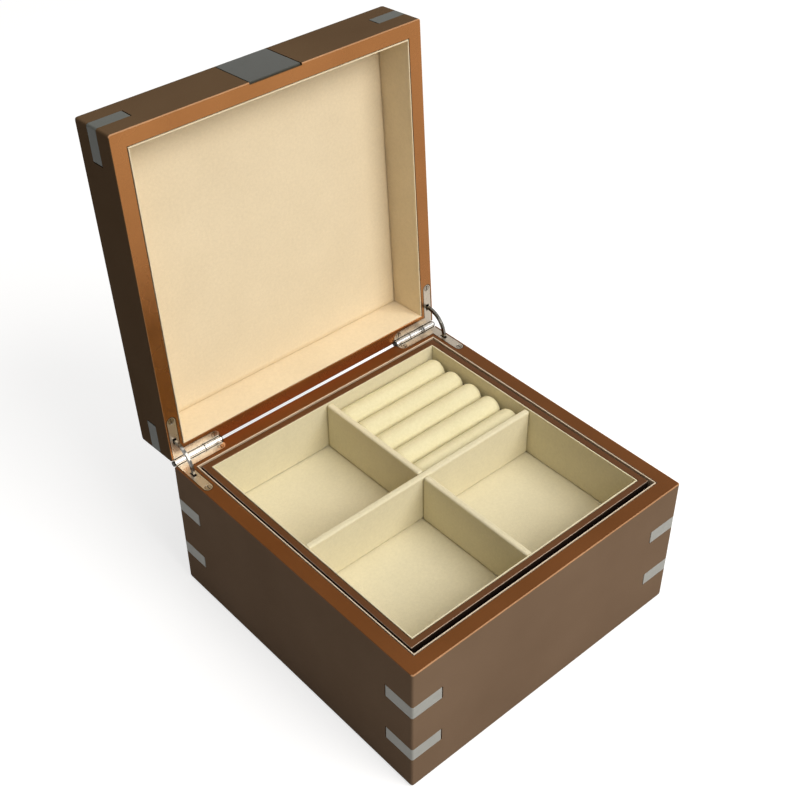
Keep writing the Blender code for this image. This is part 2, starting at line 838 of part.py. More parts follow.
def stay_pocket(name, sign, up, walls):
    """The pocket under a leaf's slot, deep enough for the stay when the box is closed."""
    half = STAY_HEAD_LENGTH / 2 + FIT_GAP
    margin = STAY_HEAD_RADIUS + FIT_GAP
    deep = STAY_RADIUS * math.sin(STAY_HALF_ANGLE) + margin
    near = STAY_RADIUS * math.cos(STAY_HALF_ANGLE) - margin
    levels = sorted((AXIS_Z, AXIS_Z - up * deep))
    pocket = box(
        name,
        (stay_x(sign) - half, AXIS_Y - STAY_RADIUS - margin, levels[0]),
        (stay_x(sign) + half, AXIS_Y - near, levels[1]),
    )
    cutter(pocket)
    for wall in walls:
        cut(wall, pocket)


def stay(side, sign):
    """The curved arm with a round stop at each end, as it lies when the box is closed."""
    first = math.pi - STAY_HALF_ANGLE
    last = math.pi + STAY_HALF_ANGLE
    outer = arc((0, 0), STAY_RADIUS + STAY_WIDTH / 2, first, last, STAY_STEPS)
    inner = arc((0, 0), STAY_RADIUS - STAY_WIDTH / 2, last, first, STAY_STEPS)
    name = f"hinge_{side}_stay"
    upright = (math.pi / 2, 0, math.pi / 2)
    arm = outline_solid(
        name, outer + inner, STAY_THICKNESS, (stay_x(sign), AXIS_Y, AXIS_Z), upright
    )
    for index, turn in enumerate((first, last)):
        head = rod(
            f"{name}_head_{index}",
            STAY_HEAD_RADIUS,
            stay_x(sign) - STAY_HEAD_LENGTH / 2,
            stay_x(sign) + STAY_HEAD_LENGTH / 2,
            AXIS_Y + STAY_RADIUS * math.cos(turn),
            AXIS_Z + STAY_RADIUS * math.sin(turn),
            STAY_HEAD_SEGMENTS,
        )
        combine(arm, cutter(head), "UNION")
    return finished(arm, "nickel")


def pin(side, sign):
    """The hinge pin, with a flat head at each end of the barrel."""
    half = BARREL_LENGTH / 2 + FIT_GAP
    top = half + PIN_HEAD_THICKNESS
    profile = [(0, top), (PIN_HEAD_RADIUS, top), (PIN_HEAD_RADIUS, half), (PIN_RADIUS, half)]
    profile += [(radius, -height) for radius, height in reversed(profile)]
    made = turned(
        f"hinge_{side}_pin",
        profile,
        ROUND_SEGMENTS,
        (sign * (HALF_WIDTH - BARREL_START - BARREL_LENGTH / 2), AXIS_Y, AXIS_Z),
        (0, math.pi / 2, 0),
    )
    return finished(made, "nickel")


def hinge_half(side, sign, prefix, up, walls):
    """The base's or the lid's half of one hinge, and what it takes out of the walls."""
    own, other = ((0, 2), (1,)) if up > 0 else ((1,), (0, 2))
    carriers = [walls["back"], walls[side]]
    barrel_notch(f"{prefix}_{side}_barrel_notch", sign, carriers)
    stay_pocket(f"{prefix}_{side}_stay_pocket", sign, up, carriers)
    leaf(f"hinge_{side}_{prefix}_leaf", sign, up, own, other, carriers)


def swing(objects, name, angle):
    """Hangs pieces on an empty on the hinge axis, and opens it by an angle."""
    axis = bpy.data.objects.new(name, None)
    axis.location = (0, AXIS_Y, AXIS_Z)
    PARTS.objects.link(axis)
    for obj in objects:
        obj.parent = axis
        obj.matrix_parent_inverse = Matrix.Translation(-axis.location)
    axis.rotation_euler = (-angle, 0, 0)


def build():
    base_walls = base()
    tray()
    ring_rolls()
    for side, sign in HANDS.items():
        hinge_half(side, sign, "base", 1, base_walls)
        pin(side, sign)

    standing = set(bpy.data.objects)
    lid_walls = lid()
    for side, sign in HANDS.items():
        hinge_half(side, sign, "lid", -1, lid_walls)
    swing(set(bpy.data.objects) - standing, "lid_hinge_axis", OPEN_ANGLE)

    for side, sign in HANDS.items():
        standing = set(bpy.data.objects)
        stay(side, sign)
        swing(set(bpy.data.objects) - standing, f"stay_{side}_axis", OPEN_ANGLE / 2)


build()
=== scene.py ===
# %% [markdown]
# A square wooden jewelry box stands open: a lacquered base, a lid on two hinges with curved
# arms, a lift-out tray whose fourth compartment holds ring rolls, and metal keys let into
# the corners. Its CAD model gives every size and every joint. This script dresses that model:
# it could repaint the CAD solids, but their edges are perfectly sharp and their cloth is
# solid, so each node is replaced by a piece with real edges and real surfaces.

# %% Load the frame
import json
import math

import bmesh
import bpy
from mathutils import Matrix, Vector, noise


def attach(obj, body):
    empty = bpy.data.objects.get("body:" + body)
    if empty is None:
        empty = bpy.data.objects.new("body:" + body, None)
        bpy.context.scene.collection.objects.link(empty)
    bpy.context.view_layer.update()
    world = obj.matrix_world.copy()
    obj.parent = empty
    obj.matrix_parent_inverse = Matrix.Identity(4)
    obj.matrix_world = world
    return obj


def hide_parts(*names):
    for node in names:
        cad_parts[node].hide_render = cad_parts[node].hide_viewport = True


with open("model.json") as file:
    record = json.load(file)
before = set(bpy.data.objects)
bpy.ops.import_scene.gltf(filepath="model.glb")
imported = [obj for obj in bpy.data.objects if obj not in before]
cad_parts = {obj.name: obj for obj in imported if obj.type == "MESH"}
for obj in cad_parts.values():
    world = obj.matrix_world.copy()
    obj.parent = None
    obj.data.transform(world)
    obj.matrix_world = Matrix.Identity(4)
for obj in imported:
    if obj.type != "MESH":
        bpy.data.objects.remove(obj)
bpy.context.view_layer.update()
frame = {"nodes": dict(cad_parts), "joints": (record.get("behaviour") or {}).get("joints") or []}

# %% [markdown]
# The real lid is a shallow box that hangs on two hinges and stands a little past upright. Its
# walls are easy to model while it is closed, because then every side is square to an axis.
# Two ways are open: model it leaning, with every corner worked out through sines, or model it
# closed and swing the finished mesh. The second is used. One matrix, made from the hinge that
# the CAD model declares, moves each lid piece from the closed box to where it stands.

# %% Where the lid turns
hinge = next(joint for joint in frame["joints"] if joint["name"] == "lid_hinge")
axis_place = Vector(hinge["pos_m"])
open_angle = math.radians(max(abs(limit) for limit in hinge["range_deg"]))
OPENING = (
    Matrix.Translation(axis_place)
    @ Matrix.Rotation(-open_angle, 4, "X")
    @ Matrix.Translation(-axis_place)
)
CLOSING = OPENING.inverted()
AS_BUILT = Matrix.Identity(4)


def node_span(nodes, placed=AS_BUILT):
    """Lowest and highest corner of CAD nodes, after a matrix is applied to them."""
    points = [placed @ v.co for name in nodes for v in frame["nodes"][name].data.vertices]
    low = Vector(min(p[axis] for p in points) for axis in range(3))
    high = Vector(max(p[axis] for p in points) for axis in range(3))
    return low, high


WALL_NAMES = ("front_wall", "right_wall", "back_wall", "left_wall")
BASE_SHELL = [f"base_{wall}" for wall in WALL_NAMES] + ["base_bottom_panel"]
LID_SHELL = [f"lid_{wall}" for wall in WALL_NAMES] + ["lid_top_panel"]
base_low, base_high = node_span(BASE_SHELL)
lid_low, lid_high = node_span(LID_SHELL, CLOSING)
front_low, front_high = node_span(["base_front_wall"])
wall_thickness = front_high.y - front_low.y
floor_top = node_span(["base_bottom_panel"])[1].z
panel_low = node_span(["lid_top_panel"], CLOSING)[0].z
print("base", [round(v, 4) for v in base_high - base_low], "wall", round(wall_thickness, 4))
print("lid", [round(v, 4) for v in lid_high - lid_low])

# %% [markdown]
# Blender's materials are graphs of nodes. Written node by node, a sum of two noises takes five
# lines, and nobody can read it back. A small class can wrap one output socket instead, so that
# a + b adds a Math node for us, and 1 - mask works because the reflected forms are there too.
# One method makes any other node. Every finish below reads its places from an attribute named
# "place", the point's position in the closed box, so that grain runs the same way on the base
# and on the opened lid, and nothing slides when the lid moves.

# %% Shader maths
class Signal:
    """One output socket; + - * / between signals and numbers add Math nodes."""

    def __init__(self, tree, socket):
        self.tree = tree
        self.socket = socket

    def node(self, kind, inputs=(), output=0, **settings):
        """Any other node: inputs are (name or index, value or signal) pairs."""
        made = self.tree.nodes.new(kind)
        for key, value in settings.items():
            setattr(made, key, value)
        for key, value in inputs:
            if isinstance(value, Signal):
                self.tree.links.new(value.socket, made.inputs[key])
            else:
                made.inputs[key].default_value = value
        return Signal(self.tree, made.outputs[output])

    def math(self, operation, first, second):
        return self.node("ShaderNodeMath", ((0, first), (1, second)), operation=operation)

    def __add__(self, other):
        return self.math("ADD", self, other)

    def __sub__(self, other):
        return self.math("SUBTRACT", self, other)

    def __mul__(self, other):
        return self.math("MULTIPLY", self, other)

    def __truediv__(self, other):
        return self.math("DIVIDE", self, other)

    def __radd__(self, other):
        return self.math("ADD", other, self)

    def __rsub__(self, other):
        return self.math("SUBTRACT", other, self)

    def __rmul__(self, other):
        return self.math("MULTIPLY", other, self)

    def __rtruediv__(self, other):
        return self.math("DIVIDE", other, self)

    def stretched(self, scale):
        """Places scaled along each axis, for grain that runs one way."""
        pairs = ((0, self), (1, scale))
        return self.node("ShaderNodeVectorMath", pairs, operation="MULTIPLY")

    def noise(self, scale, detail=2.0, roughness=0.5):
        """Soft noise from 0 to 1 at these places, so many cells to the metre."""
        pairs = (("Vector", self), ("Scale", scale), ("Detail", detail), ("Roughness", roughness))
        return self.node("ShaderNodeTexNoise", pairs)

    def between(self, low, high):
        """Spreads the middle of a noise over the range from low to high."""
        ends = (("From Min", 0.3), ("From Max", 0.7), ("To Min", low), ("To Max", high))
        pairs = (("Value", self), *ends)
        return self.node("ShaderNodeMapRange", pairs)

    def mixed(self, first, second):
        """The first colour where this is 0, and the second where it is 1."""
        pairs = (("Factor", self), (6, (*first, 1.0)), (7, (*second, 1.0)))
        return self.node("ShaderNodeMix", pairs, output=2, data_type="RGBA")

    def tinted(self, color):
        """A colour multiplied by this signal."""
        pairs = ((0, color), (3, self))
        return self.node("ShaderNodeVectorMath", pairs, operation="SCALE")


print("signals add, subtract, multiply and divide")

# %% [markdown]
# Every finish on the box starts alike: a Principled shader, some constants that hold over the
# whole surface, and the places. These could be written out for each finish, or one material
# could be copied and changed. A helper that makes the start and returns its three parts is
# shorter than the first, and keeps the finishes independent, unlike the second.

# %% Material helpers
def material(name, **constants):
    """A Principled material with constant values, its shader node and its places."""
    made = bpy.data.materials.new(name)
    made.use_nodes = True
    tree = made.node_tree
    shader = tree.nodes["Principled BSDF"]
    for key, value in constants.items():
        shader.inputs[key.replace("_", " ")].default_value = value
    attribute = tree.nodes.new("ShaderNodeAttribute")
    attribute.attribute_name = "place"
    return made, shader, Signal(tree, attribute.outputs["Vector"])


def wire(shader, socket, signal):
    signal.tree.links.new(signal.socket, shader.inputs[socket])


def bump(shader, height, distance, strength=1.0):
    pairs = (("Height", height), ("Distance", distance), ("Strength", strength))
    wire(shader, "Normal", height.node("ShaderNodeBump", pairs))


print("every material reads its places from the attribute 'place'")

# %% [markdown]
# The box is board under satin metallic paint: brown, with very fine flake. A photograph of the
# paint would need an image file and would show its tiles, so noise does the work at three
# scales. Slow drift moves the colour by a tenth over a hand's width, flake of a fifth of a
# millimetre sparkles in the colour, and orange peel of two millimetres lies in the bump. Some
# faces get other copies of the same paint, and these are painted light: a redder one on the rims,
# a painted reflection of the cloth they face; a paler one on the broken edges at the front and
# right, a painted highlight where the light falls; a darker one on the lid's outside, painted
# shade for the little light it gets from above; and a near-black one on the tray's outside,
# painted shade for the gap round it. One material with masks could do that, but separate
# finishes by face are easier to read and to change.

# %% Lacquer
DRIFT_SCALE = 14.0
FLAKE_SCALE = 5200.0
PEEL_SCALE = 520.0
PEEL_DEPTH = 0.00003
FLAKE_RANGE = (0.88, 1.12)
FLAKE_IN_PEEL = 0.12


def lacquer(name, deep, light, roughness, metallic, specular):
    made, shader, place = material(name, Metallic=metallic, Specular_IOR_Level=specular)
    drift = place.noise(DRIFT_SCALE, 3.0).between(0.0, 1.0)
    flake = place.noise(FLAKE_SCALE, 1.0)
    color = drift.mixed(deep, light)
    wire(shader, "Base Color", flake.between(*FLAKE_RANGE).tinted(color))
    wire(shader, "Roughness", place.noise(DRIFT_SCALE * 3, 2.0).between(*roughness))
    bump(shader, place.noise(PEEL_SCALE, 2.0) + FLAKE_IN_PEEL * flake, PEEL_DEPTH)
    return made


SATIN_PAINT = (0.38, 0.46)
BROKEN_EDGE = (0.30, 0.38)
body_lacquer = lacquer(
    "body_lacquer", (0.170, 0.110, 0.069), (0.196, 0.129, 0.082), SATIN_PAINT, 0.05, 0.0
)
# A darker copy of the body paint for the lid's outside: painted shade for the little light it
# gets from above.
lid_lacquer_painted_shade = lacquer(
    "lid_lacquer_painted_shade", (0.102, 0.062, 0.033), (0.118, 0.073, 0.039), SATIN_PAINT, 0.05, 0.0
)
# Redder paint on the base's rim: a painted reflection of the velvet above it.
rim_painted_reflection = lacquer(
    "rim_painted_reflection", (0.140, 0.050, 0.013), (0.170, 0.062, 0.018), (0.32, 0.40), 0.5, 0.06
)
# Brighter, more metallic paint on the lid's rim: a painted reflection of the tray below it.
lid_rim_painted_reflection = lacquer(
    "lid_rim_painted_reflection", (0.300, 0.125, 0.041), (0.350, 0.148, 0.050), (0.22, 0.30), 0.9, 0.04
)
tray_lacquer = lacquer(
    "tray_lacquer", (0.105, 0.042, 0.015), (0.130, 0.054, 0.020), (0.34, 0.42), 0.35, 0.12
)
# Paler paint on the rim bevels at the front and right: a painted highlight where the light falls.
edge_painted_highlight = lacquer(
    "edge_painted_highlight", (0.370, 0.190, 0.092), (0.450, 0.240, 0.120), BROKEN_EDGE, 0.0, 0.04
)
# Paler grey-brown on the tray frame's outer top bevel: a painted highlight.
tray_edge_painted_highlight = lacquer(
    "tray_edge_painted_highlight", (0.250, 0.185, 0.140), (0.330, 0.250, 0.190), BROKEN_EDGE, 0.25, 0.2
)
# Near-black paint on the tray's outside: painted shade in the gap round the tray.
tray_outside_painted_shade = lacquer(
    "tray_outside_painted_shade", (0.010, 0.006, 0.004), (0.016, 0.009, 0.006), (0.55, 0.65), 0.0, 0.08
)
print("lacquers made")

# %% [markdown]
# Linings, pads and ring rolls are covered in short cream velvet. Real pile could be grown as
# hair, which is slow and can't be exported, so the nap is drawn by three noises: fibres finer
# than half a millimetre, tufts of two millimetres where the pile parts, and broad patches that
# were stroked another way. Sheen gives the light rim that pile has at a slant. The lid, the
# tray and the rolls come from separate bolts, so each has its own cream.

# %% Velvet
FIBRE_SCALE = 2600.0
PATCH_SCALE = 26.0
TUFT_SCALE = 520.0
FIBRE_DEPTH = 0.00012


def velvet(name, shade, light):
    made, shader, place = material(
        name,
        Sheen_Weight=0.30,
        Sheen_Roughness=0.45,
        Specular_IOR_Level=0.15,
    )
    shader.inputs["Sheen Tint"].default_value = (*light, 1.0)
    patch = place.noise(PATCH_SCALE, 4.0, 0.6)
    tuft = place.noise(TUFT_SCALE, 3.0, 0.65)
    fibre = place.noise(FIBRE_SCALE, 3.0, 0.7)
    nap = patch.between(0.25, 0.65) + tuft.between(-0.28, 0.28) + fibre.between(-0.2, 0.25)
    wire(shader, "Base Color", nap.mixed(shade, light))
    wire(shader, "Roughness", fibre.between(0.86, 1.0))
    bump(shader, fibre + 0.6 * patch + 0.8 * tuft, FIBRE_DEPTH)
    return made


lid_velvet = velvet("lid_velvet", (0.73, 0.61, 0.42), (0.83, 0.70, 0.49))
tray_velvet = velvet("tray_velvet", (0.64, 0.58, 0.40), (0.73, 0.665, 0.465))
roll_velvet = velvet("roll_velvet", (0.66, 0.60, 0.37), (0.75, 0.69, 0.46))
# A darker brown copy of the cream lining velvet: painted shade for the gap round the tray.
painted_shade_velvet = velvet("painted_shade_velvet", (0.40, 0.30, 0.20), (0.50, 0.38, 0.26))
edge_velvet = velvet("edge_velvet", (0.60, 0.50, 0.38), (0.72, 0.60, 0.46))
print("velvets made")

# %% [markdown]
# Three kinds of metal show. The corner keys are satin grey with brush lines along their legs,
# the catch plate is nearly black, and the hinges are nickel. Brushing is a noise squeezed hard
# along one axis; smears of handling are a soft one. Several metals also carry painted light:
# the lid's keys and the catch plate are dark copies, painted shade for the lid's dim outside;
# the pins are near black, painted shade in the gap between the leaves; the arms are a dark
# nickel, painted shade for their dark reflections; and the barrels are a brighter nickel, a
# painted highlight. Painted shade also darkens the crevices where parts meet: an Ambient
# Occlusion node finds them from the shape itself, which is simpler than placing the dark lines
# one by one and stays right when the shape changes.

# %% Metals
CREVICE_SHADE_REACH = 0.0009
SMEAR_SCALE = 180.0
DULL_SHARE = 0.82


def metal(name, color, roughness, brushed, depth, metallic=1.0, specular=0.5, crevice_shade=0.0):
    made, shader, place = material(name, Metallic=metallic, Specular_IOR_Level=specular)
    lines = place.stretched(brushed).noise(1.0, 3.0, 0.6)
    smear = place.noise(SMEAR_SCALE, 2.0)
    dull = tuple(part * DULL_SHARE for part in color)
    shade = (0.6 * lines + 0.4 * smear).between(0.0, 1.0).mixed(dull, color)
    # Painted shade: the colour darkens where the Ambient Occlusion node finds a crevice.
    if crevice_shade:
        near = (("Distance", CREVICE_SHADE_REACH),)
        open_air = place.node("ShaderNodeAmbientOcclusion", near, output=1, samples=8)
        shade = (1.0 - crevice_shade * (1.0 - open_air)).tinted(shade)
    wire(shader, "Base Color", shade)
    wire(shader, "Roughness", (0.5 * lines + 0.5 * smear).between(*roughness))
    bump(shader, lines, depth)
    return made


ALONG_WALL = (160.0, 160.0, 9000.0)
ACROSS_PLATE = (9000.0, 200.0, 200.0)
POLISHED = (900.0, 900.0, 900.0)
SATIN = 0.000012
FINE = 0.000006
key_metal = metal(
    "key_metal", (0.375, 0.375, 0.345), (0.34, 0.46), ALONG_WALL, SATIN, 0.12, 0.12
)
# A darker copy of the key metal for the lid's keys: painted shade for the lid's dim outside.
lid_key_painted_shade = metal(
    "lid_key_painted_shade", (0.105, 0.110, 0.097), (0.34, 0.46), ALONG_WALL, SATIN, 0.12, 0.12
)
# A near-black copy of the key metal for the catch plate: painted shade for the lid's dim outside.
plate_metal = metal(
    "plate_metal", (0.060, 0.062, 0.052), (0.34, 0.44), ACROSS_PLATE, SATIN, 0.25, 0.25
)
nickel = metal("nickel", (0.53, 0.46, 0.37), (0.24, 0.36), POLISHED, FINE, 0.9, crevice_shade=1.0)
# A brighter copy of the nickel for the barrels: a painted highlight.
barrel_painted_highlight = metal(
    "barrel_painted_highlight", (0.70, 0.68, 0.65), (0.12, 0.22), POLISHED, FINE, crevice_shade=0.8
)
screw_nickel = metal(
    "screw_nickel", (0.36, 0.31, 0.25), (0.20, 0.30), POLISHED, FINE, crevice_shade=0.9
)
# Near-black steel for the pins: painted shade in the gap between the leaves.
pin_painted_shade = metal("pin_painted_shade", (0.035, 0.032, 0.028), (0.30, 0.40), POLISHED, FINE)
# A dark copy of the nickel for the curved arms: painted shade for their dark reflections.
stay_painted_shade = metal("stay_painted_shade", (0.20, 0.19, 0.17), (0.08, 0.16), POLISHED, FINE)
print("metals made")

# %% [markdown]
# Each piece below ends the same way: its bmesh becomes a mesh, its closed-box points are kept
# in the "place" attribute, the lid's pieces are swung open, and the object is tied to the CAD
# body that it moves with. Smooth shading would smear the light over the big flat boards, and
# flat shading would show every facet of the bevels. The Weighted Normal modifier solves both:
# large faces keep their own direction and the small bevels blend into them.

# %% Finished pieces
SHARP = math.radians(34)
WELD = 0.000002


def piece(name, bm, finishes, body, placed=AS_BUILT, replaced=()):
    """A shown piece that rides on a CAD body and stands for some of its nodes."""
    mesh = bpy.data.meshes.new(name)
    bm.normal_update()
    bm.to_mesh(mesh)
    bm.free()
    places = mesh.attributes.new("place", "FLOAT_VECTOR", "POINT")
    places.data.foreach_set("vector", [part for v in mesh.vertices for part in v.co])
    mesh.transform(placed)
    mesh.shade_smooth()
    mesh.set_sharp_from_angle(angle=SHARP)
    for finish in finishes if isinstance(finishes, tuple) else (finishes,):
        mesh.materials.append(finish)
    obj = bpy.data.objects.new(name, mesh)
    bpy.context.scene.collection.objects.link(obj)
    flat = obj.modifiers.new("flat_faces", "WEIGHTED_NORMAL")
    flat.keep_sharp = True
    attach(obj, body)
    if replaced:
        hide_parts(*replaced)
    return obj


print("edges sharper than", round(math.degrees(SHARP)), "degrees stay sharp")

# %% [markdown]
# Boards, rods and router cuts all start as simple solids. Blender's own add commands would work
# too, but they depend on what is selected. Operators of bmesh act on one mesh in memory, return
# what they made, and can be followed at once by a bevel. No solid is used as it comes: each is
# bevelled, cut or spun into the shape of its piece.

# %% Simple solids
def add_box(bm, low, high):
    """Adds a box between two corners, and returns its vertices."""
    low, high = Vector(low), Vector(high)
    verts = bmesh.ops.create_cube(bm, size=1)["verts"]
    bmesh.ops.scale(bm, vec=high - low, verts=verts)
    bmesh.ops.translate(bm, vec=(low + high) / 2, verts=verts)
    return verts


def add_rod(bm, radius, start, end, y, z, segments=40):
    """Adds a round rod along X."""
    turn = Matrix.Rotation(math.pi / 2, 4, "Y")
    centre = Matrix.Translation(((start + end) / 2, y, z))
    bmesh.ops.create_cone(
        bm,
        cap_ends=True,
        segments=segments,
        radius1=radius,
        radius2=radius,
        depth=abs(end - start),
        matrix=centre @ turn,
    )


def round_edges(bm, edges, radius, segments):
    return bmesh.ops.bevel(
        bm,
        geom=edges,
        offset=radius,
        segments=segments,
        profile=0.5,
        affect="EDGES",
        clamp_overlap=True,
        material=-1,
    )


def edges_of(verts):
    """Every edge at these vertices once, in the same order in each run."""
    return list(dict.fromkeys(edge for vert in verts for edge in vert.link_edges))


def add_board(bm, low, high, radius, segments=3):
    """Adds a box with every edge softly rounded, like card wrapped in velvet."""
    verts = add_box(bm, low, high)
    round_edges(bm, edges_of(verts), radius, segments)


print("boxes, rods and wrapped boards can be made")

# %% [markdown]
# Recesses, slots and grooves in the real box are cut. Building a shell face by face round each
# recess would take hundreds of lines; a Boolean modifier does it from a few cutters, and its
# result is read back as a mesh. The same cell has the opposite helper: it takes a CAD part as
# it is, joins its loose triangles, and breaks its edges.

# %% Cutting and refining
def subtract(bm, cutters):
    """The mesh with each cutter taken out of it, as a new bmesh."""
    def holder(name, source):
        mesh = bpy.data.meshes.new(name)
        bmesh.ops.recalc_face_normals(source, faces=source.faces)
        source.to_mesh(mesh)
        source.free()
        obj = bpy.data.objects.new(name, mesh)
        bpy.context.scene.collection.objects.link(obj)
        return obj

    body = holder("cut_body", bm)
    tools = [holder("cut_tool", cutter) for cutter in cutters]
    for tool in tools:
        modifier = body.modifiers.new("cut", "BOOLEAN")
        modifier.operation = "DIFFERENCE"
        modifier.object = tool
    graph = bpy.context.evaluated_depsgraph_get()
    result = bmesh.new()
    result.from_object(body, graph)
    for obj in [body, *tools]:
        bpy.data.objects.remove(obj)
    return result


def refined(node, radius, segments=2, placed=AS_BUILT):
    """A welded copy of a CAD node, as it is in the closed box, with its edges broken."""
    bm = bmesh.new()
    bm.from_mesh(frame["nodes"][node].data)
    bmesh.ops.transform(bm, matrix=placed, verts=bm.verts)
    bmesh.ops.remove_doubles(bm, verts=bm.verts, dist=WELD)
    bmesh.ops.dissolve_limit(bm, angle_limit=math.radians(1), verts=bm.verts, edges=bm.edges)
    bmesh.ops.recalc_face_normals(bm, faces=bm.faces)
    sharp = [e for e in bm.edges if len(e.link_faces) == 2 and e.calc_face_angle() > SHARP]
    if radius:
        round_edges(bm, sharp, radius, segments)
    return bm


print("CAD corners closer than", WELD * 1000, "mm are joined")

# %% [markdown]
# Metal keys bind the corners: two in each corner of the base and one in each of the lid. In the
# workshop a router cuts a recess a hair wider than the fitting, and the dark line that is left
# round each one is what makes it look set in. The line could be painted on, but it would lie
# flat when the light moves, so it is cut: two boxes stand for the router's path, a little larger
# than the CAD key, with a wider groove at the ends of its legs.

# %% Key recesses
PAST = 0.003
KEY_CLEARANCE = 0.00012
KEY_END_GROOVE = 0.0007
KEY_THICKNESS = 0.0016
KEY_CORNERS = {
    "front_left": (-1, -1),
    "front_right": (1, -1),
    "rear_right": (1, 1),
    "rear_left": (-1, 1),
}
key_low, key_high = node_span(["base_key_front_left_upper"])
key_leg = key_high.x - key_low.x


def key_recess(node, corner, placed):
    """Two crossing boxes round a corner, where a key's legs lie."""
    low, high = node_span([node], placed)
    across, along = KEY_CORNERS[corner]
    outer_x, outer_y = (across * base_high.x, along * base_high.y)
    reach = key_leg + KEY_END_GROOVE
    depth = KEY_THICKNESS + KEY_CLEARANCE
    tools = []
    for size_x, size_y in ((reach, depth), (depth, reach)):
        xs = sorted((outer_x + across * PAST, outer_x - across * size_x))
        ys = sorted((outer_y + along * PAST, outer_y - along * size_y))
        bm = bmesh.new()
        add_box(
            bm,
            (xs[0], ys[0], low.z - KEY_CLEARANCE),
            (xs[1], ys[1], high.z + KEY_CLEARANCE),
        )
        tools.append(bm)
    return tools


print("key legs", round(key_leg * 1000, 1), "mm long")

# %% [markdown]
# Each hinge leaf is an L let flush into the rim: a long leg along the side wall, a short one
# along the back. Behind them the rim has a hollow for half of the barrel, and in front a deep
# pocket for the curved arm, which swings down into both halves of the box as it closes. The
# leaf's own outline could be offset and cut, but offset meshes cross themselves at round ends.
# A box with one rounded end for each leg, a rod and a second box give the same four cuts.

# %% Hinge recesses
HANDS = {"left": -1, "right": 1}
LEAF_CLEARANCE = 0.0004
LEAF_THICKNESS = 0.0014
LEAF_SIDE_INSET = 0.0015
LONG_LEG_WIDTH = 0.006
SHORT_LEG_WIDTH = 0.0074
END_SHARE = 0.98
END_SEGMENTS = 8
BARREL_CLEARANCE = 0.0003
STAY_RADIUS = 0.0155
STAY_ROOM = 0.0024
STAY_NEAR = 0.0047


def hinge_recesses(side, leaf, placed, up):
    """What a hinge leaf takes out of a rim: two legs, the barrel's hollow, the stay's pocket."""
    sign = HANDS[side]
    low, high = node_span([leaf], placed)
    outer = base_high.x - LEAF_SIDE_INSET
    inner = low.x if sign > 0 else -high.x
    rim = base_high.z if up > 0 else lid_low.z
    rear = base_high.y
    clear = LEAF_CLEARANCE
    deep = rim - up * (LEAF_THICKNESS + clear)
    levels = sorted((deep, rim + up * PAST))
    tools = []

    def leg(from_x, to_x, from_y, to_y, round_at_front):
        bm = bmesh.new()
        xs = sorted((sign * from_x, sign * to_x))
        verts = add_box(bm, (xs[0], from_y, levels[0]), (xs[1], to_y, levels[1]))
        heights = {e: abs(e.verts[0].co.z - e.verts[1].co.z) for e in edges_of(verts)}
        upright = [e for e, height in heights.items() if height > PAST / 2]
        if round_at_front:
            ends = [e for e in upright if e.verts[0].co.y < (from_y + to_y) / 2]
            radius = (to_x - from_x) / 2
        else:
            middle = sign * (from_x + to_x) / 2
            ends = [e for e in upright if sign * (e.verts[0].co.x - middle) < 0]
            radius = (to_y - from_y) / 2
        round_edges(bm, ends, abs(radius) * END_SHARE, END_SEGMENTS)
        tools.append(bm)

    leg(outer - LONG_LEG_WIDTH - clear, outer + clear, low.y - clear, rear + PAST, True)
    leg(inner - clear, outer, rear - SHORT_LEG_WIDTH - clear, rear + PAST, False)
    barrel = bmesh.new()
    radius = high.y - axis_place.y
    add_rod(
        barrel,
        radius + BARREL_CLEARANCE,
        sign * (base_high.x + PAST),
        sign * (inner - 2 * BARREL_CLEARANCE),
        axis_place.y,
        axis_place.z,
    )
    tools.append(barrel)
    stay_low, stay_high = node_span([f"hinge_{side}_stay"])
    pocket = bmesh.new()
    pocket_levels = sorted((rim + up * clear, rim - up * (STAY_RADIUS + STAY_ROOM)))
    add_box(
        pocket,
        (stay_low.x - clear, axis_place.y - STAY_RADIUS - STAY_ROOM, pocket_levels[0]),
        (stay_high.x + clear, axis_place.y - STAY_NEAR, pocket_levels[1]),
    )
    tools.append(pocket)
    return tools


print("stay pocket", round((STAY_RADIUS + STAY_ROOM) * 1000, 1), "mm deep")

# %% [markdown]
# Base and lid are the same thing upside down: a box with soft outer edges, an open hollow and a
# flat rim. A Solidify modifier on an open box would give even walls too, but the floor and the
# walls differ in thickness. So a solid block is rounded first, while it has only twelve edges,
# and the hollow is cut after. The uprights and the far edges have different radii, which weights
# on the edges give in a single bevel. Faces are sorted on the way into outside, rim and edge:
# the rim's finish is a painted reflection, and the edge's finish, on the rim bevels at the front
# and right, is a painted highlight.

# %% Rounded shells
UPRIGHT_RADIUS = 0.0015
BOTTOM_RADIUS = 0.0026
TOP_RADIUS = 0.0028
SHELL_SEGMENTS = 6
RIM_RADIUS = 0.0006
RIM_SEGMENTS = 3
OUTSIDE, RIM, EDGE = range(3)


def rounded_block(low, high, rim_z, far_radius):
    """A box whose uprights and far edges are rounded, each to its own radius."""
    bm = bmesh.new()
    verts = add_box(bm, low, high)
    weight = bm.edges.layers.float.new("bevel_weight_edge")
    for edge in edges_of(verts):
        first, second = (vert.co.z for vert in edge.verts)
        if abs(first - second) > WELD:
            edge[weight] = UPRIGHT_RADIUS / far_radius
        elif abs(first - rim_z) > WELD:
            edge[weight] = 1.0
    mesh = bpy.data.meshes.new("block")
    bm.to_mesh(mesh)
    bm.free()
    block = bpy.data.objects.new("block", mesh)
    bpy.context.scene.collection.objects.link(block)
    bevel = block.modifiers.new("round", "BEVEL")
    bevel.limit_method = "WEIGHT"
    bevel.width = far_radius
    bevel.segments = SHELL_SEGMENTS
    result = bmesh.new()
    result.from_object(block, bpy.context.evaluated_depsgraph_get())
    bpy.data.objects.remove(block)
    return result


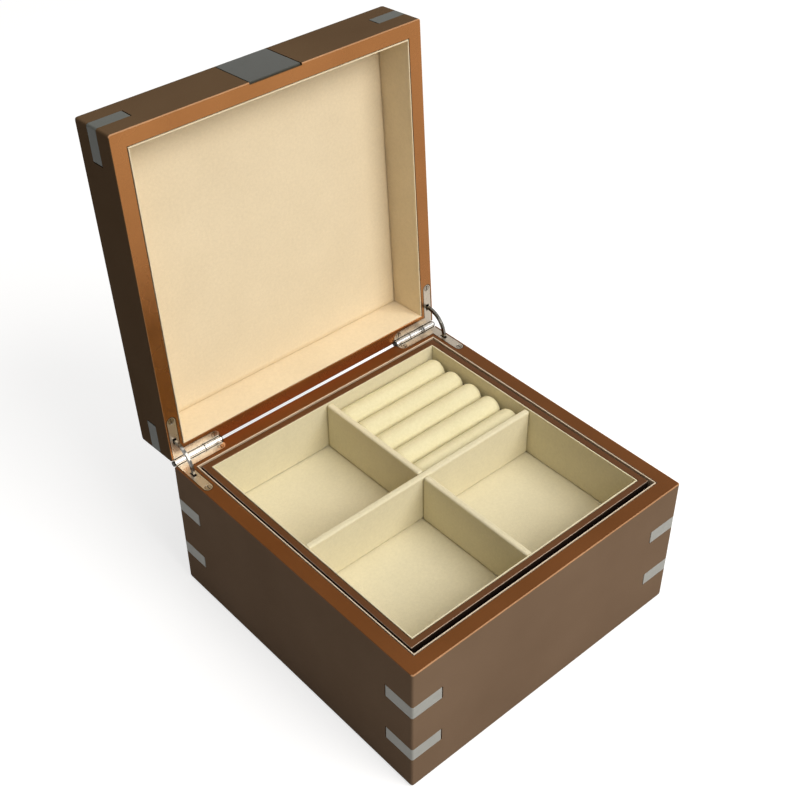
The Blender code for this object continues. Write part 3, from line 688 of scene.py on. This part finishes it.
def on_rim(item, rim_z):
    return all(abs(vert.co.z - rim_z) < WELD for vert in item.verts)


def shell(low, high, hollow_from, hollow_to, rim_z, far_radius):
    """A rounded box with its hollow cut out and both edges of its rim softly broken."""
    bm = rounded_block(low, high, rim_z, far_radius)
    hollow = bmesh.new()
    add_box(
        hollow,
        (low.x + wall_thickness, low.y + wall_thickness, hollow_from),
        (high.x - wall_thickness, high.y - wall_thickness, hollow_to),
    )
    result = subtract(bm, [hollow])
    # Faces on the rim plane get the rim finish, a painted reflection.
    for face in result.faces:
        face.material_index = RIM if on_rim(face, rim_z) else OUTSIDE
    rim = [e for e in result.edges if on_rim(e, rim_z) and e.calc_face_angle() > SHARP]
    # Rim bevels at the front and right get the edge finish, a painted highlight.
    reach = min(high.x, high.y) - wall_thickness / 2
    for face in round_edges(result, rim, RIM_RADIUS, RIM_SEGMENTS)["faces"]:
        place = face.calc_center_median()
        if place.x > reach or place.y < -reach:
            face.material_index = EDGE
    return result


print("walls", round(wall_thickness * 1000, 1), "mm thick")

# %% [markdown]
# The base is five boards glued under paint. Five pieces would show seams that the real box
# doesn't have, so it is made as one shell, which stands for all five nodes. Eight key recesses
# and two hinge recesses are cut from it after its edges are rounded. Bevelling after the
# Boolean, the other way round, would meet dozens of short edges.

# %% Base shell
base_cutters = []
for corner in KEY_CORNERS:
    for level in ("upper", "lower"):
        base_cutters += key_recess(f"base_key_{corner}_{level}", corner, AS_BUILT)
for side in HANDS:
    base_cutters += hinge_recesses(side, f"hinge_{side}_base_leaf", AS_BUILT, 1)
base_solid = shell(
    base_low, base_high, floor_top, base_high.z + PAST, base_high.z, BOTTOM_RADIUS
)
base_shell = piece(
    "base_shell",
    subtract(base_solid, base_cutters),
    (body_lacquer, rim_painted_reflection, edge_painted_highlight),
    "base",
    replaced=BASE_SHELL,
)
print("base shell", len(base_shell.data.polygons), "faces")

# %% [markdown]
# The lid is made by the same function, upside down: its rim looks down while it is closed, and
# the soft edges are on top. Turning a copy of the base over would be shorter, but the lid is
# shallower, and its corners have one key instead of two. The catch plate bends over the front
# top edge, so its recess is two boxes that cross on that edge.

# %% Lid shell
PLATE_GROOVE = 0.0007
PLATE_THICKNESS = 0.0014
lid_cutters = []
for corner in KEY_CORNERS:
    lid_cutters += key_recess(f"lid_key_{corner}", corner, CLOSING)
for side in HANDS:
    lid_cutters += hinge_recesses(side, f"hinge_{side}_lid_leaf", CLOSING, -1)
plate_low, plate_high = node_span(["lid_front_plate"], CLOSING)
plate_recess = bmesh.new()
add_box(
    plate_recess,
    (plate_low.x - PLATE_GROOVE, lid_low.y - PAST, lid_low.z - PAST),
    (plate_high.x + PLATE_GROOVE, lid_low.y + PLATE_THICKNESS, lid_high.z - TOP_RADIUS),
)
over_recess = bmesh.new()
add_box(
    over_recess,
    (plate_low.x - PLATE_GROOVE, lid_low.y - PAST, lid_high.z - PLATE_THICKNESS),
    (plate_high.x + PLATE_GROOVE, lid_low.y + TOP_RADIUS, lid_high.z + PAST),
)
lid_cutters += [plate_recess, over_recess]
lid_solid = shell(lid_low, lid_high, lid_low.z - PAST, panel_low, lid_low.z, TOP_RADIUS)
lid_shell = piece(
    "lid_shell",
    subtract(lid_solid, lid_cutters),
    (lid_lacquer_painted_shade, lid_rim_painted_reflection, edge_painted_highlight),
    "lid",
    OPENING,
    replaced=LID_SHELL,
)
print("lid shell", len(lid_shell.data.polygons), "faces")

# %% [markdown]
# Keys, plate, pins, arms and screws already have their true shapes in the CAD model, and
# modelling them again would only bring them out of place. Each is copied, its loose triangles
# are welded, flat faces are dissolved into one, and the sharp edges get a bevel of a fifth of
# a millimetre, because no real metal edge is perfectly sharp and it is the bevel that catches
# the light. Pins and screws are so small that a bevel on them wouldn't be seen.

# %% Metal fittings
KEY_EDGE = 0.00018
PLATE_EDGE = 0.0002
STAY_EDGE = 0.00015


def fitting(node, finish, radius, body, placed=AS_BUILT):
    bm = refined(node, radius, 2, placed)
    back = placed.inverted()
    return piece(node + "_fine", bm, finish, body, back, [node])


for corner in KEY_CORNERS:
    for level in ("upper", "lower"):
        fitting(f"base_key_{corner}_{level}", key_metal, KEY_EDGE, "base")
    fitting(f"lid_key_{corner}", lid_key_painted_shade, KEY_EDGE, "lid", CLOSING)
fitting("lid_front_plate", plate_metal, PLATE_EDGE, "lid", CLOSING)
for side in HANDS:
    fitting(f"hinge_{side}_pin", pin_painted_shade, 0, "base")
    stay_body = f"stay_{side}"
    fitting(f"hinge_{side}_stay", stay_painted_shade, STAY_EDGE, stay_body)
    for leg in ("long", "short"):
        fitting(f"hinge_{side}_base_leaf_screw_{leg}", screw_nickel, 0, "base")
        lid_screw = f"hinge_{side}_lid_leaf_screw_{leg}"
        fitting(lid_screw, screw_nickel, 0, "lid", CLOSING)
print("keys, plate, pins, stays and screws made")

# %% [markdown]
# The hinge leaves need more than a bevel. On the real hinge a dark groove lies beside the
# barrel, a gap shows between the knuckles, and the curved arm passes through a slot with room
# to spare. Lines in the colour could suggest these, but they are shadows and change with the
# light, so they are cut from the copies. The barrel is given a brighter nickel, a painted
# highlight, and its faces are found by their distance from the hinge's axis.

# %% Hinge leaves
BARREL_RADIUS = 0.0024
RIM_GAP = lid_low.z - base_high.z
KNUCKLE_GROOVE = 0.00042
LEAF_GROOVE = 0.00050
KNUCKLE_ENDS = (0.0108, 0.0234)
STAY_SLOT = 0.0024
SLOT_MARGIN = 0.0003
ON_BARREL = 0.00006


def hinge_leaf(side, prefix, up, placed=AS_BUILT):
    """A leaf whose barrel stands clear: a groove beside it and one at each knuckle's end."""
    node = f"hinge_{side}_{prefix}_leaf"
    low, high = node_span([node], placed)
    surface = axis_place.z - up * RIM_GAP / 2
    beside = axis_place.y - BARREL_RADIUS
    levels = sorted((surface + up * LEAF_GROOVE, surface - up * LEAF_GROOVE))
    groove = bmesh.new()
    add_box(
        groove,
        (low.x - PAST, beside - LEAF_GROOVE, levels[0]),
        (high.x + PAST, beside + LEAF_GROOVE / 4, levels[1]),
    )
    tools = [groove]
    sign = HANDS[side]
    for end in KNUCKLE_ENDS:
        ring = bmesh.new()
        at = sign * (base_high.x - end)
        add_rod(
            ring,
            BARREL_RADIUS + LEAF_GROOVE,
            at - KNUCKLE_GROOVE,
            at + KNUCKLE_GROOVE,
            axis_place.y,
            axis_place.z,
        )
        tools.append(ring)
    stay_low, stay_high = node_span([f"hinge_{side}_stay"])
    slot = bmesh.new()
    slot_y = axis_place.y - STAY_RADIUS
    add_box(
        slot,
        (stay_low.x + SLOT_MARGIN, slot_y - STAY_SLOT, surface - LEAF_THICKNESS * 2),
        (stay_high.x - SLOT_MARGIN, slot_y + STAY_SLOT, surface + LEAF_THICKNESS * 2),
    )
    tools.append(slot)
    bm = subtract(refined(node, 0, 2, placed), tools)
    bm.normal_update()
    for face in bm.faces:
        middle = face.calc_center_median()
        out = math.hypot(middle.y - axis_place.y, middle.z - axis_place.z)
        # Faces on the barrel get the brighter nickel, a painted highlight.
        face.material_index = int(abs(out - BARREL_RADIUS) < ON_BARREL)
    finishes = (nickel, barrel_painted_highlight)
    back = placed.inverted()
    return piece(node + "_fine", bm, finishes, prefix, back, [node])


for side in HANDS:
    hinge_leaf(side, "base", 1)
    hinge_leaf(side, "lid", -1, CLOSING)
print("four hinge leaves made")

# %% [markdown]
# The insides of the walls are lined with card wrapped in velvet. One bent strip would have
# perfect corners; the real ones are four separate boards, with a fine dark seam in each corner.
# So four boards are made with a slight gap between them, and all their edges are rounded by the
# thickness of the cloth. In the base only the top edge is cream velvet; the sides, deep in the
# gap round the tray, get a darker brown velvet, painted shade for the gap.

# %% Linings
SEAM = 0.00012
LINING_EDGE = 0.00014


def lining(name, node, thickness, finishes, body, placed=AS_BUILT):
    low, high = node_span([node], placed)
    inner_low = low + Vector((thickness, thickness, 0))
    inner_high = high - Vector((thickness, thickness, 0))
    bm = bmesh.new()
    add_board(bm, low, (high.x, inner_low.y, high.z), LINING_EDGE)
    add_board(bm, (low.x, inner_high.y, low.z), high, LINING_EDGE)
    near, far = inner_low.y + SEAM, inner_high.y - SEAM
    add_board(bm, (low.x, near, low.z), (inner_low.x, far, high.z), LINING_EDGE)
    add_board(bm, (inner_high.x, near, low.z), (high.x, far, high.z), LINING_EDGE)
    if isinstance(finishes, tuple):
        bm.normal_update()
        # Faces that don't look up get the darker velvet, painted shade.
        for face in bm.faces:
            face.material_index = int(face.normal.z < 0.5)
    return piece(name, bm, finishes, body, placed.inverted(), [node])


LINING_THICKNESS = 0.0007
TRAY_LINING_THICKNESS = 0.0008
base_finishes = (edge_velvet, painted_shade_velvet)
lining("base_lining_boards", "base_lining", LINING_THICKNESS, base_finishes, "base")
lining("lid_lining_boards", "lid_lining", LINING_THICKNESS, lid_velvet, "lid", CLOSING)
lining("tray_lining_boards", "tray_lining", TRAY_LINING_THICKNESS, tray_velvet, "tray")
print("linings made")

# %% [markdown]
# The panel in the lid and the one on the floor are foam under velvet, glued at the edge: the
# middle stands slightly proud, the border is drawn down, and the cloth is never quite even.
# A cushion this thin and tightly held hardly changes in a cloth simulation, so its form is
# given directly. A fine grid is shaped by a rounding at the edge, a very flat crown and a soft
# noise, and is then extruded to a closed pad.

# %% Pads
PAD_STEPS = 90
PAD_POWER = 14
UNEVEN_SCALE = 22.0
UNEVEN_DEPTH = 0.00016
UNEVEN_SINK = 0.6


def add_pad(bm, low, high, face_up, crown, edge):
    """A padded panel whose soft face looks up (1) or down (-1)."""
    size = high - low
    grid = bmesh.ops.create_grid(bm, x_segments=PAD_STEPS, y_segments=PAD_STEPS, size=1)
    verts = grid["verts"]
    flat = low.z if face_up > 0 else high.z
    for vert in verts:
        u, v = vert.co.x, vert.co.y
        x = (low.x + high.x) / 2 + u * size.x / 2
        y = (low.y + high.y) / 2 + v * size.y / 2
        to_edge = min((1 - abs(u)) * size.x, (1 - abs(v)) * size.y) / 2
        rounding = 1 - min(to_edge / edge, 1)
        drawn = edge * (1 - math.sqrt(max(1 - rounding * rounding, 0)))
        swell = crown * (1 - (1 - abs(u) ** PAD_POWER) * (1 - abs(v) ** PAD_POWER))
        waves = noise.noise(Vector((x, y, flat)) * UNEVEN_SCALE) - UNEVEN_SINK
        height = size.z - drawn - swell + UNEVEN_DEPTH * waves
        vert.co = (x, y, flat + face_up * height)
    lifted = bmesh.ops.extrude_face_region(bm, geom=bm.faces[:])
    for item in lifted["geom"]:
        if isinstance(item, bmesh.types.BMVert):
            item.co.z = flat
    bmesh.ops.recalc_face_normals(bm, faces=bm.faces)


PAD_EDGE = 0.0012
PAD_CROWN = 0.0005
lid_pad_low, lid_pad_high = node_span(["lid_top_pad"], CLOSING)
lid_pad = bmesh.new()
add_pad(lid_pad, lid_pad_low, lid_pad_high, -1, PAD_CROWN, PAD_EDGE)
lid_pad_piece = piece(
    "lid_pad", lid_pad, lid_velvet, "lid", OPENING, ["lid_top_pad"]
)

floor_pad = bmesh.new()
add_pad(floor_pad, *node_span(["base_floor_pad"]), 1, PAD_CROWN, PAD_EDGE)
floor_pad_piece = piece(
    "base_pad", floor_pad, tray_velvet, "base", replaced=["base_floor_pad"]
)
print("pads made")

# %% [markdown]
# The tray stands on two narrow ledges, one along each side wall of the base. They are strips of
# board in velvet, hidden until the tray is lifted out. A plain box would have knife edges where
# the cloth turns, and a simulated cover would look no different on a strip this narrow, so each
# is a board with its edges rounded by the thickness of board and cloth.

# %% Tray ledges
LEDGE_EDGE = 0.0012
for side in HANDS:
    ledge = bmesh.new()
    ledge_node = f"tray_ledge_{side}"
    add_board(ledge, *node_span([ledge_node]), LEDGE_EDGE, 4)
    name = f"ledge_{side}"
    piece(name, ledge, tray_velvet, "base", replaced=[ledge_node])
print("ledges made")

# %% [markdown]
# The lift-out tray has a thin lacquered frame. Its outside gets a nearly black finish, painted
# shade that makes the gap round the tray look deep, and the bevel along its outer top edge a
# paler one, a painted highlight. Four mitred strips would be true to the workshop, but their
# joints are under paint.
# One block with a hole through it, bevelled and sorted into three finishes by the way each face
# looks, gives the same frame in one closed piece.

# %% Tray frame
TRAY_WALLS = [f"tray_{name}" for name in WALL_NAMES]
FRAME_EDGE = 0.0005
tray_low, tray_high = node_span(TRAY_WALLS)
tray_wall_low, tray_wall_high = node_span(["tray_left_wall"])
tray_wall = tray_wall_high.x - tray_wall_low.x
tray_frame = bmesh.new()
add_box(tray_frame, tray_low, tray_high)
tray_hollow = bmesh.new()
inset = Vector((tray_wall, tray_wall, -PAST))
add_box(tray_hollow, tray_low + inset, tray_high - inset)
tray_frame = subtract(tray_frame, [tray_hollow])
sharp_edges = [e for e in tray_frame.edges if e.calc_face_angle() > SHARP]
round_edges(tray_frame, sharp_edges, FRAME_EDGE, 3)
tray_frame.normal_update()
tray_middle = (tray_low + tray_high) / 2
for face in tray_frame.faces:
    outwards = face.normal.dot(face.calc_center_median() - tray_middle)
    # Outside faces get the nearly black finish, painted shade.
    if outwards > 0 and abs(face.normal.z) < 0.1:
        face.material_index = 1
    # The outward bevel of the top edge gets the paler finish, a painted highlight.
    elif 0.1 < face.normal.z < 0.95:
        leaning = face.normal.xy.dot((face.calc_center_median() - tray_middle).xy)
        face.material_index = 2 if leaning > 0 else 0
finishes = (tray_lacquer, tray_outside_painted_shade, tray_edge_painted_highlight)
piece("tray_frame", tray_frame, finishes, "tray", replaced=TRAY_WALLS)
print("tray frame", [round(v, 4) for v in tray_high - tray_low])

# %% [markdown]
# The tray's bottom is a thin board, and the velvet on it is glued flat. The board is the CAD
# part with its edges broken. The cloth could be a plane, but a plane has no thickness and isn't
# closed, so the pad function makes it again, this time with no crown and with a small rounding
# where it meets the linings.

# %% Tray floor
BOARD_EDGE = 0.0003
board = refined("tray_bottom", BOARD_EDGE)
piece("tray_board", board, tray_lacquer, "tray", replaced=["tray_bottom"])
tray_floor = bmesh.new()
add_pad(tray_floor, *node_span(["tray_floor_velvet"]), 1, 0, BOARD_EDGE)
floor_nodes = ["tray_floor_velvet"]
piece("tray_floor", tray_floor, tray_velvet, "tray", replaced=floor_nodes)
print("tray floor made")

# %% [markdown]
# Two dividers cross in the tray and make four compartments. They are card wrapped in velvet:
# one runs through, the other is in two parts that butt against it, so a seam shows where they
# meet. Two whole boards passing through each other would be simpler, but the seam would be
# lost. Their tops are rounded over almost the full thickness, as wrapped card is.

# %% Dividers
DIVIDER_EDGE = 0.0014
DIVIDER_SEGMENTS = 5
across_low, across_high = node_span(["tray_divider_across"])
along_low, along_high = node_span(["tray_divider_along"])
across = bmesh.new()
add_board(across, across_low, across_high, DIVIDER_EDGE, DIVIDER_SEGMENTS)
along = bmesh.new()
for near, far in ((along_low.y, across_low.y - SEAM), (across_high.y + SEAM, along_high.y)):
    part_low = (along_low.x, near, along_low.z)
    part_high = (along_high.x, far, along_high.z)
    add_board(along, part_low, part_high, DIVIDER_EDGE, DIVIDER_SEGMENTS)
for way, divider in (("across", across), ("along", along)):
    name, nodes = f"divider_{way}", [f"tray_divider_{way}"]
    piece(name, divider, tray_velvet, "tray", replaced=nodes)
print("dividers made")

# %% [markdown]
# Rings are held between five soft rolls that lie side by side. A cylinder with bevelled ends
# looks like a pipe. A real roll is foam in a velvet sleeve, with ends like the corner of a
# cushion, so half of its outline is drawn with a superellipse at each end, and a spin about
# the long axis makes the body. A soft noise then moves each point in or out by a fifth of a
# millimetre, as hand-filled rolls are never quite straight.

# %% Ring rolls
ROLL_AROUND = 64
ROLL_ALONG = 90
END_STEPS = 14
ROLL_SWELL = 0.00022
END_CAP = 0.0060
END_POWER = 2.5
ROLL_WAVES = Vector((34, 90, 90))
BED_EDGE = 0.0015
ROLLS = sorted(name for name in frame["nodes"] if name.startswith("ring_roll_"))
ROLLS.remove("ring_roll_bed")


def roll_outline(half, radius):
    """Half of a roll's outline, from one end on its axis to the other, as (x, r) pairs."""
    corner = []
    for step in range(END_STEPS + 1):
        angle = math.pi / 2 * step / END_STEPS
        past = END_CAP * math.cos(angle) ** (2 / END_POWER)
        corner.append((half - END_CAP + past, radius * math.sin(angle) ** (2 / END_POWER)))
    inner = half - END_CAP
    body = [(inner * (1 - 2 * step / ROLL_ALONG), radius) for step in range(1, ROLL_ALONG)]
    return corner + body + [(-x, r) for x, r in reversed(corner)]


def ring_roll(node):
    """A roll spun from its outline, then swollen very slightly and unevenly."""
    low, high = node_span([node])
    centre = (low + high) / 2
    radius = (high.y - low.y) / 2
    bm = bmesh.new()
    verts = [bm.verts.new((x, 0, r)) for x, r in roll_outline((high.x - low.x) / 2, radius)]
    edges = [bm.edges.new(pair) for pair in zip(verts, verts[1:])]
    bmesh.ops.spin(
        bm,
        geom=verts + edges,
        cent=(0, 0, 0),
        axis=(1, 0, 0),
        angle=2 * math.pi,
        steps=ROLL_AROUND,
        use_merge=True,
    )
    bmesh.ops.remove_doubles(bm, verts=bm.verts, dist=WELD)
    bmesh.ops.translate(bm, vec=centre, verts=bm.verts)
    bmesh.ops.recalc_face_normals(bm, faces=bm.faces)
    for vert in bm.verts:
        out = Vector((0, vert.co.y - centre.y, vert.co.z - centre.z))
        swell = noise.noise(vert.co * ROLL_WAVES) - 1
        vert.co += out * (ROLL_SWELL * swell / radius)
    made = piece(node + "_velvet", bm, roll_velvet, "tray", replaced=[node])
    return made


for node in ROLLS:
    ring_roll(node)
bed = bmesh.new()
add_board(bed, *node_span(["ring_roll_bed"]), BED_EDGE, 4)
bed_nodes = ["ring_roll_bed"]
bed_piece = piece("ring_bed", bed, roll_velvet, "tray", replaced=bed_nodes)
print(len(ROLLS), "ring rolls made")

# %% [markdown]
# A plain pale floor and soft light let the materials speak. Pure white could be reached with
# more lamps, but these would also bleach the velvet. Instead the floor gives off a little light
# that only straight, mirrored and refracted rays see, so it looks white, still keeps the box's
# shadow, and adds nothing to the light on the object.

# %% Floor
FLOOR_SIZE = 40.0
FLOOR_COLOR = (0.44, 0.44, 0.44, 1.0)
FLOOR_LIFT = 0.70


def seen_rays(tree):
    """1 for rays that show the stage: straight ones, reflections and looks through glass."""
    path = tree.nodes.new("ShaderNodeLightPath")
    names = ("Is Camera Ray", "Is Glossy Ray", "Is Transmission Ray")
    camera_ray, glossy_ray, clear_ray = (Signal(tree, path.outputs[name]) for name in names)
    total = camera_ray + glossy_ray + clear_ray
    return total.math("MINIMUM", total, 1.0)


floor_mesh = bmesh.new()
bmesh.ops.create_grid(floor_mesh, x_segments=1, y_segments=1, size=FLOOR_SIZE / 2)
mesh = bpy.data.meshes.new("floor")
floor_mesh.to_mesh(mesh)
floor_mesh.free()
floor = bpy.data.objects.new("floor", mesh)
bpy.context.scene.collection.objects.link(floor)
floor_paint = bpy.data.materials.new("floor_paint")
floor_paint.use_nodes = True
floor_tree = floor_paint.node_tree
floor_shader = floor_tree.nodes["Principled BSDF"]
floor_shader.inputs["Base Color"].default_value = FLOOR_COLOR
floor_shader.inputs["Roughness"].default_value = 0.9
floor_shader.inputs["Specular IOR Level"].default_value = 0.0
floor_shader.inputs["Emission Color"].default_value = (1.0, 1.0, 1.0, 1.0)
wire(floor_shader, "Emission Strength", FLOOR_LIFT * seen_rays(floor_tree))
mesh.materials.append(floor_paint)
print("floor", FLOOR_SIZE, "m wide")

# %% [markdown]
# Behind the floor lies the room. It could be one even white, but then every shadow on the box
# would fill up. Two colours are mixed by the same kind of ray as on the floor: the eye sees an
# almost white backdrop, while the box itself is lit by a dim grey room. The box's left faces are
# much darker than its front in the photograph, as when a black card stands on that side, so the
# room is darker low on the left. A real black card would do it too, but it would be in view.

# %% Room
ROOM_BRIGHT = (0.33, 0.322, 0.310)
ROOM_DIM = (0.06, 0.054, 0.047)
ROOM_MIDDLE = 0.45
ACROSS_SHARE = 0.5
UP_SHARE = 0.7
BACKDROP = (0.88, 0.88, 0.88)
world = bpy.data.worlds.new("studio")
bpy.context.scene.world = world
world.use_nodes = True
world_tree = world.node_tree
background = world_tree.nodes["Background"]
coordinates = world_tree.nodes.new("ShaderNodeTexCoord")
direction = Signal(world_tree, coordinates.outputs["Generated"])
rightwards = direction.node("ShaderNodeSeparateXYZ", ((0, direction),))
upwards = direction.node("ShaderNodeSeparateXYZ", ((0, direction),), output=2)
brightness = ROOM_MIDDLE + ACROSS_SHARE * rightwards + UP_SHARE * upwards
lit_room = brightness.mixed(ROOM_DIM, ROOM_BRIGHT)
pairs = (("Factor", seen_rays(world_tree)), (6, lit_room), (7, (*BACKDROP, 1.0)))
room = lit_room.node("ShaderNodeMix", pairs, output=2, data_type="RGBA")
world_tree.links.new(room.socket, background.inputs["Color"])
print("room", ROOM_DIM, "to", ROOM_BRIGHT)

# %% [markdown]
# The photograph's light is broad and comes from the front right: the front face is lit, the
# left one is dim, and the shadow is soft. A sun lamp would draw hard shadows, and a close small
# panel would leave a bright patch on the lacquer. A large area lamp two metres away is even over
# the whole box, and a weak one above fills the compartments.

# %% Lights
def soft_light(name, place, target, size, power, color):
    data = bpy.data.lights.new(name, "AREA")
    data.shape = "RECTANGLE"
    data.size, data.size_y = size
    data.energy = power
    data.color = color
    lamp = bpy.data.objects.new(name, data)
    lamp.location = place
    lamp.rotation_euler = (Vector(target) - Vector(place)).to_track_quat("-Z", "Y").to_euler()
    bpy.context.scene.collection.objects.link(lamp)


middle = (0, 0, 0.12)
soft_light("key_light", (0.62, -2.20, 2.20), middle, (2.4, 1.8), 95.0, (1.0, 0.975, 0.94))
soft_light("top_light", (0.10, -0.10, 1.90), middle, (0.9, 0.9), 7.0, (1.0, 0.985, 0.96))
print("two soft lights made")

# %% [markdown]
# The photograph looks down at the box from its front left corner. The camera's place was found
# from the box's own corners, and is given as two angles and a distance, which say more to a
# reader than a matrix does. It looks at a point near the rim's middle, moved a little aside so
# that the box sits in the frame as it does in the picture.

# %% Camera
CAMERA_AZIMUTH = math.radians(-41.67)
CAMERA_ELEVATION = math.radians(39.59)
CAMERA_ROLL = math.radians(-0.23)
CAMERA_DISTANCE = 0.8047
CAMERA_PAN = (-0.01516, 0.04560)
IMAGE_SIDE = 800
FOCAL_PIXELS = 1311.8
SENSOR = 36.0
aim = Vector((0, 0, base_high.z))
back = Vector(
    (
        math.sin(CAMERA_AZIMUTH) * math.cos(CAMERA_ELEVATION),
        -math.cos(CAMERA_AZIMUTH) * math.cos(CAMERA_ELEVATION),
        math.sin(CAMERA_ELEVATION),
    )
)
level_right = Vector((math.cos(CAMERA_AZIMUTH), math.sin(CAMERA_AZIMUTH), 0))
level_up = back.cross(level_right)
right = level_right * math.cos(CAMERA_ROLL) + level_up * math.sin(CAMERA_ROLL)
up = level_up * math.cos(CAMERA_ROLL) - level_right * math.sin(CAMERA_ROLL)
camera_data = bpy.data.cameras.new("camera")
camera_data.sensor_width = SENSOR
camera_data.lens = FOCAL_PIXELS / IMAGE_SIDE * SENSOR
camera = bpy.data.objects.new("camera", camera_data)
eye = aim + right * CAMERA_PAN[0] + up * CAMERA_PAN[1] + back * CAMERA_DISTANCE
turn = Matrix((right, up, back)).transposed().to_4x4()
camera.matrix_world = Matrix.Translation(eye) @ turn
bpy.context.scene.collection.objects.link(camera)
bpy.context.scene.camera = camera
bpy.context.scene.view_settings.view_transform = "Standard"
print("lens", round(camera_data.lens, 2), "mm")
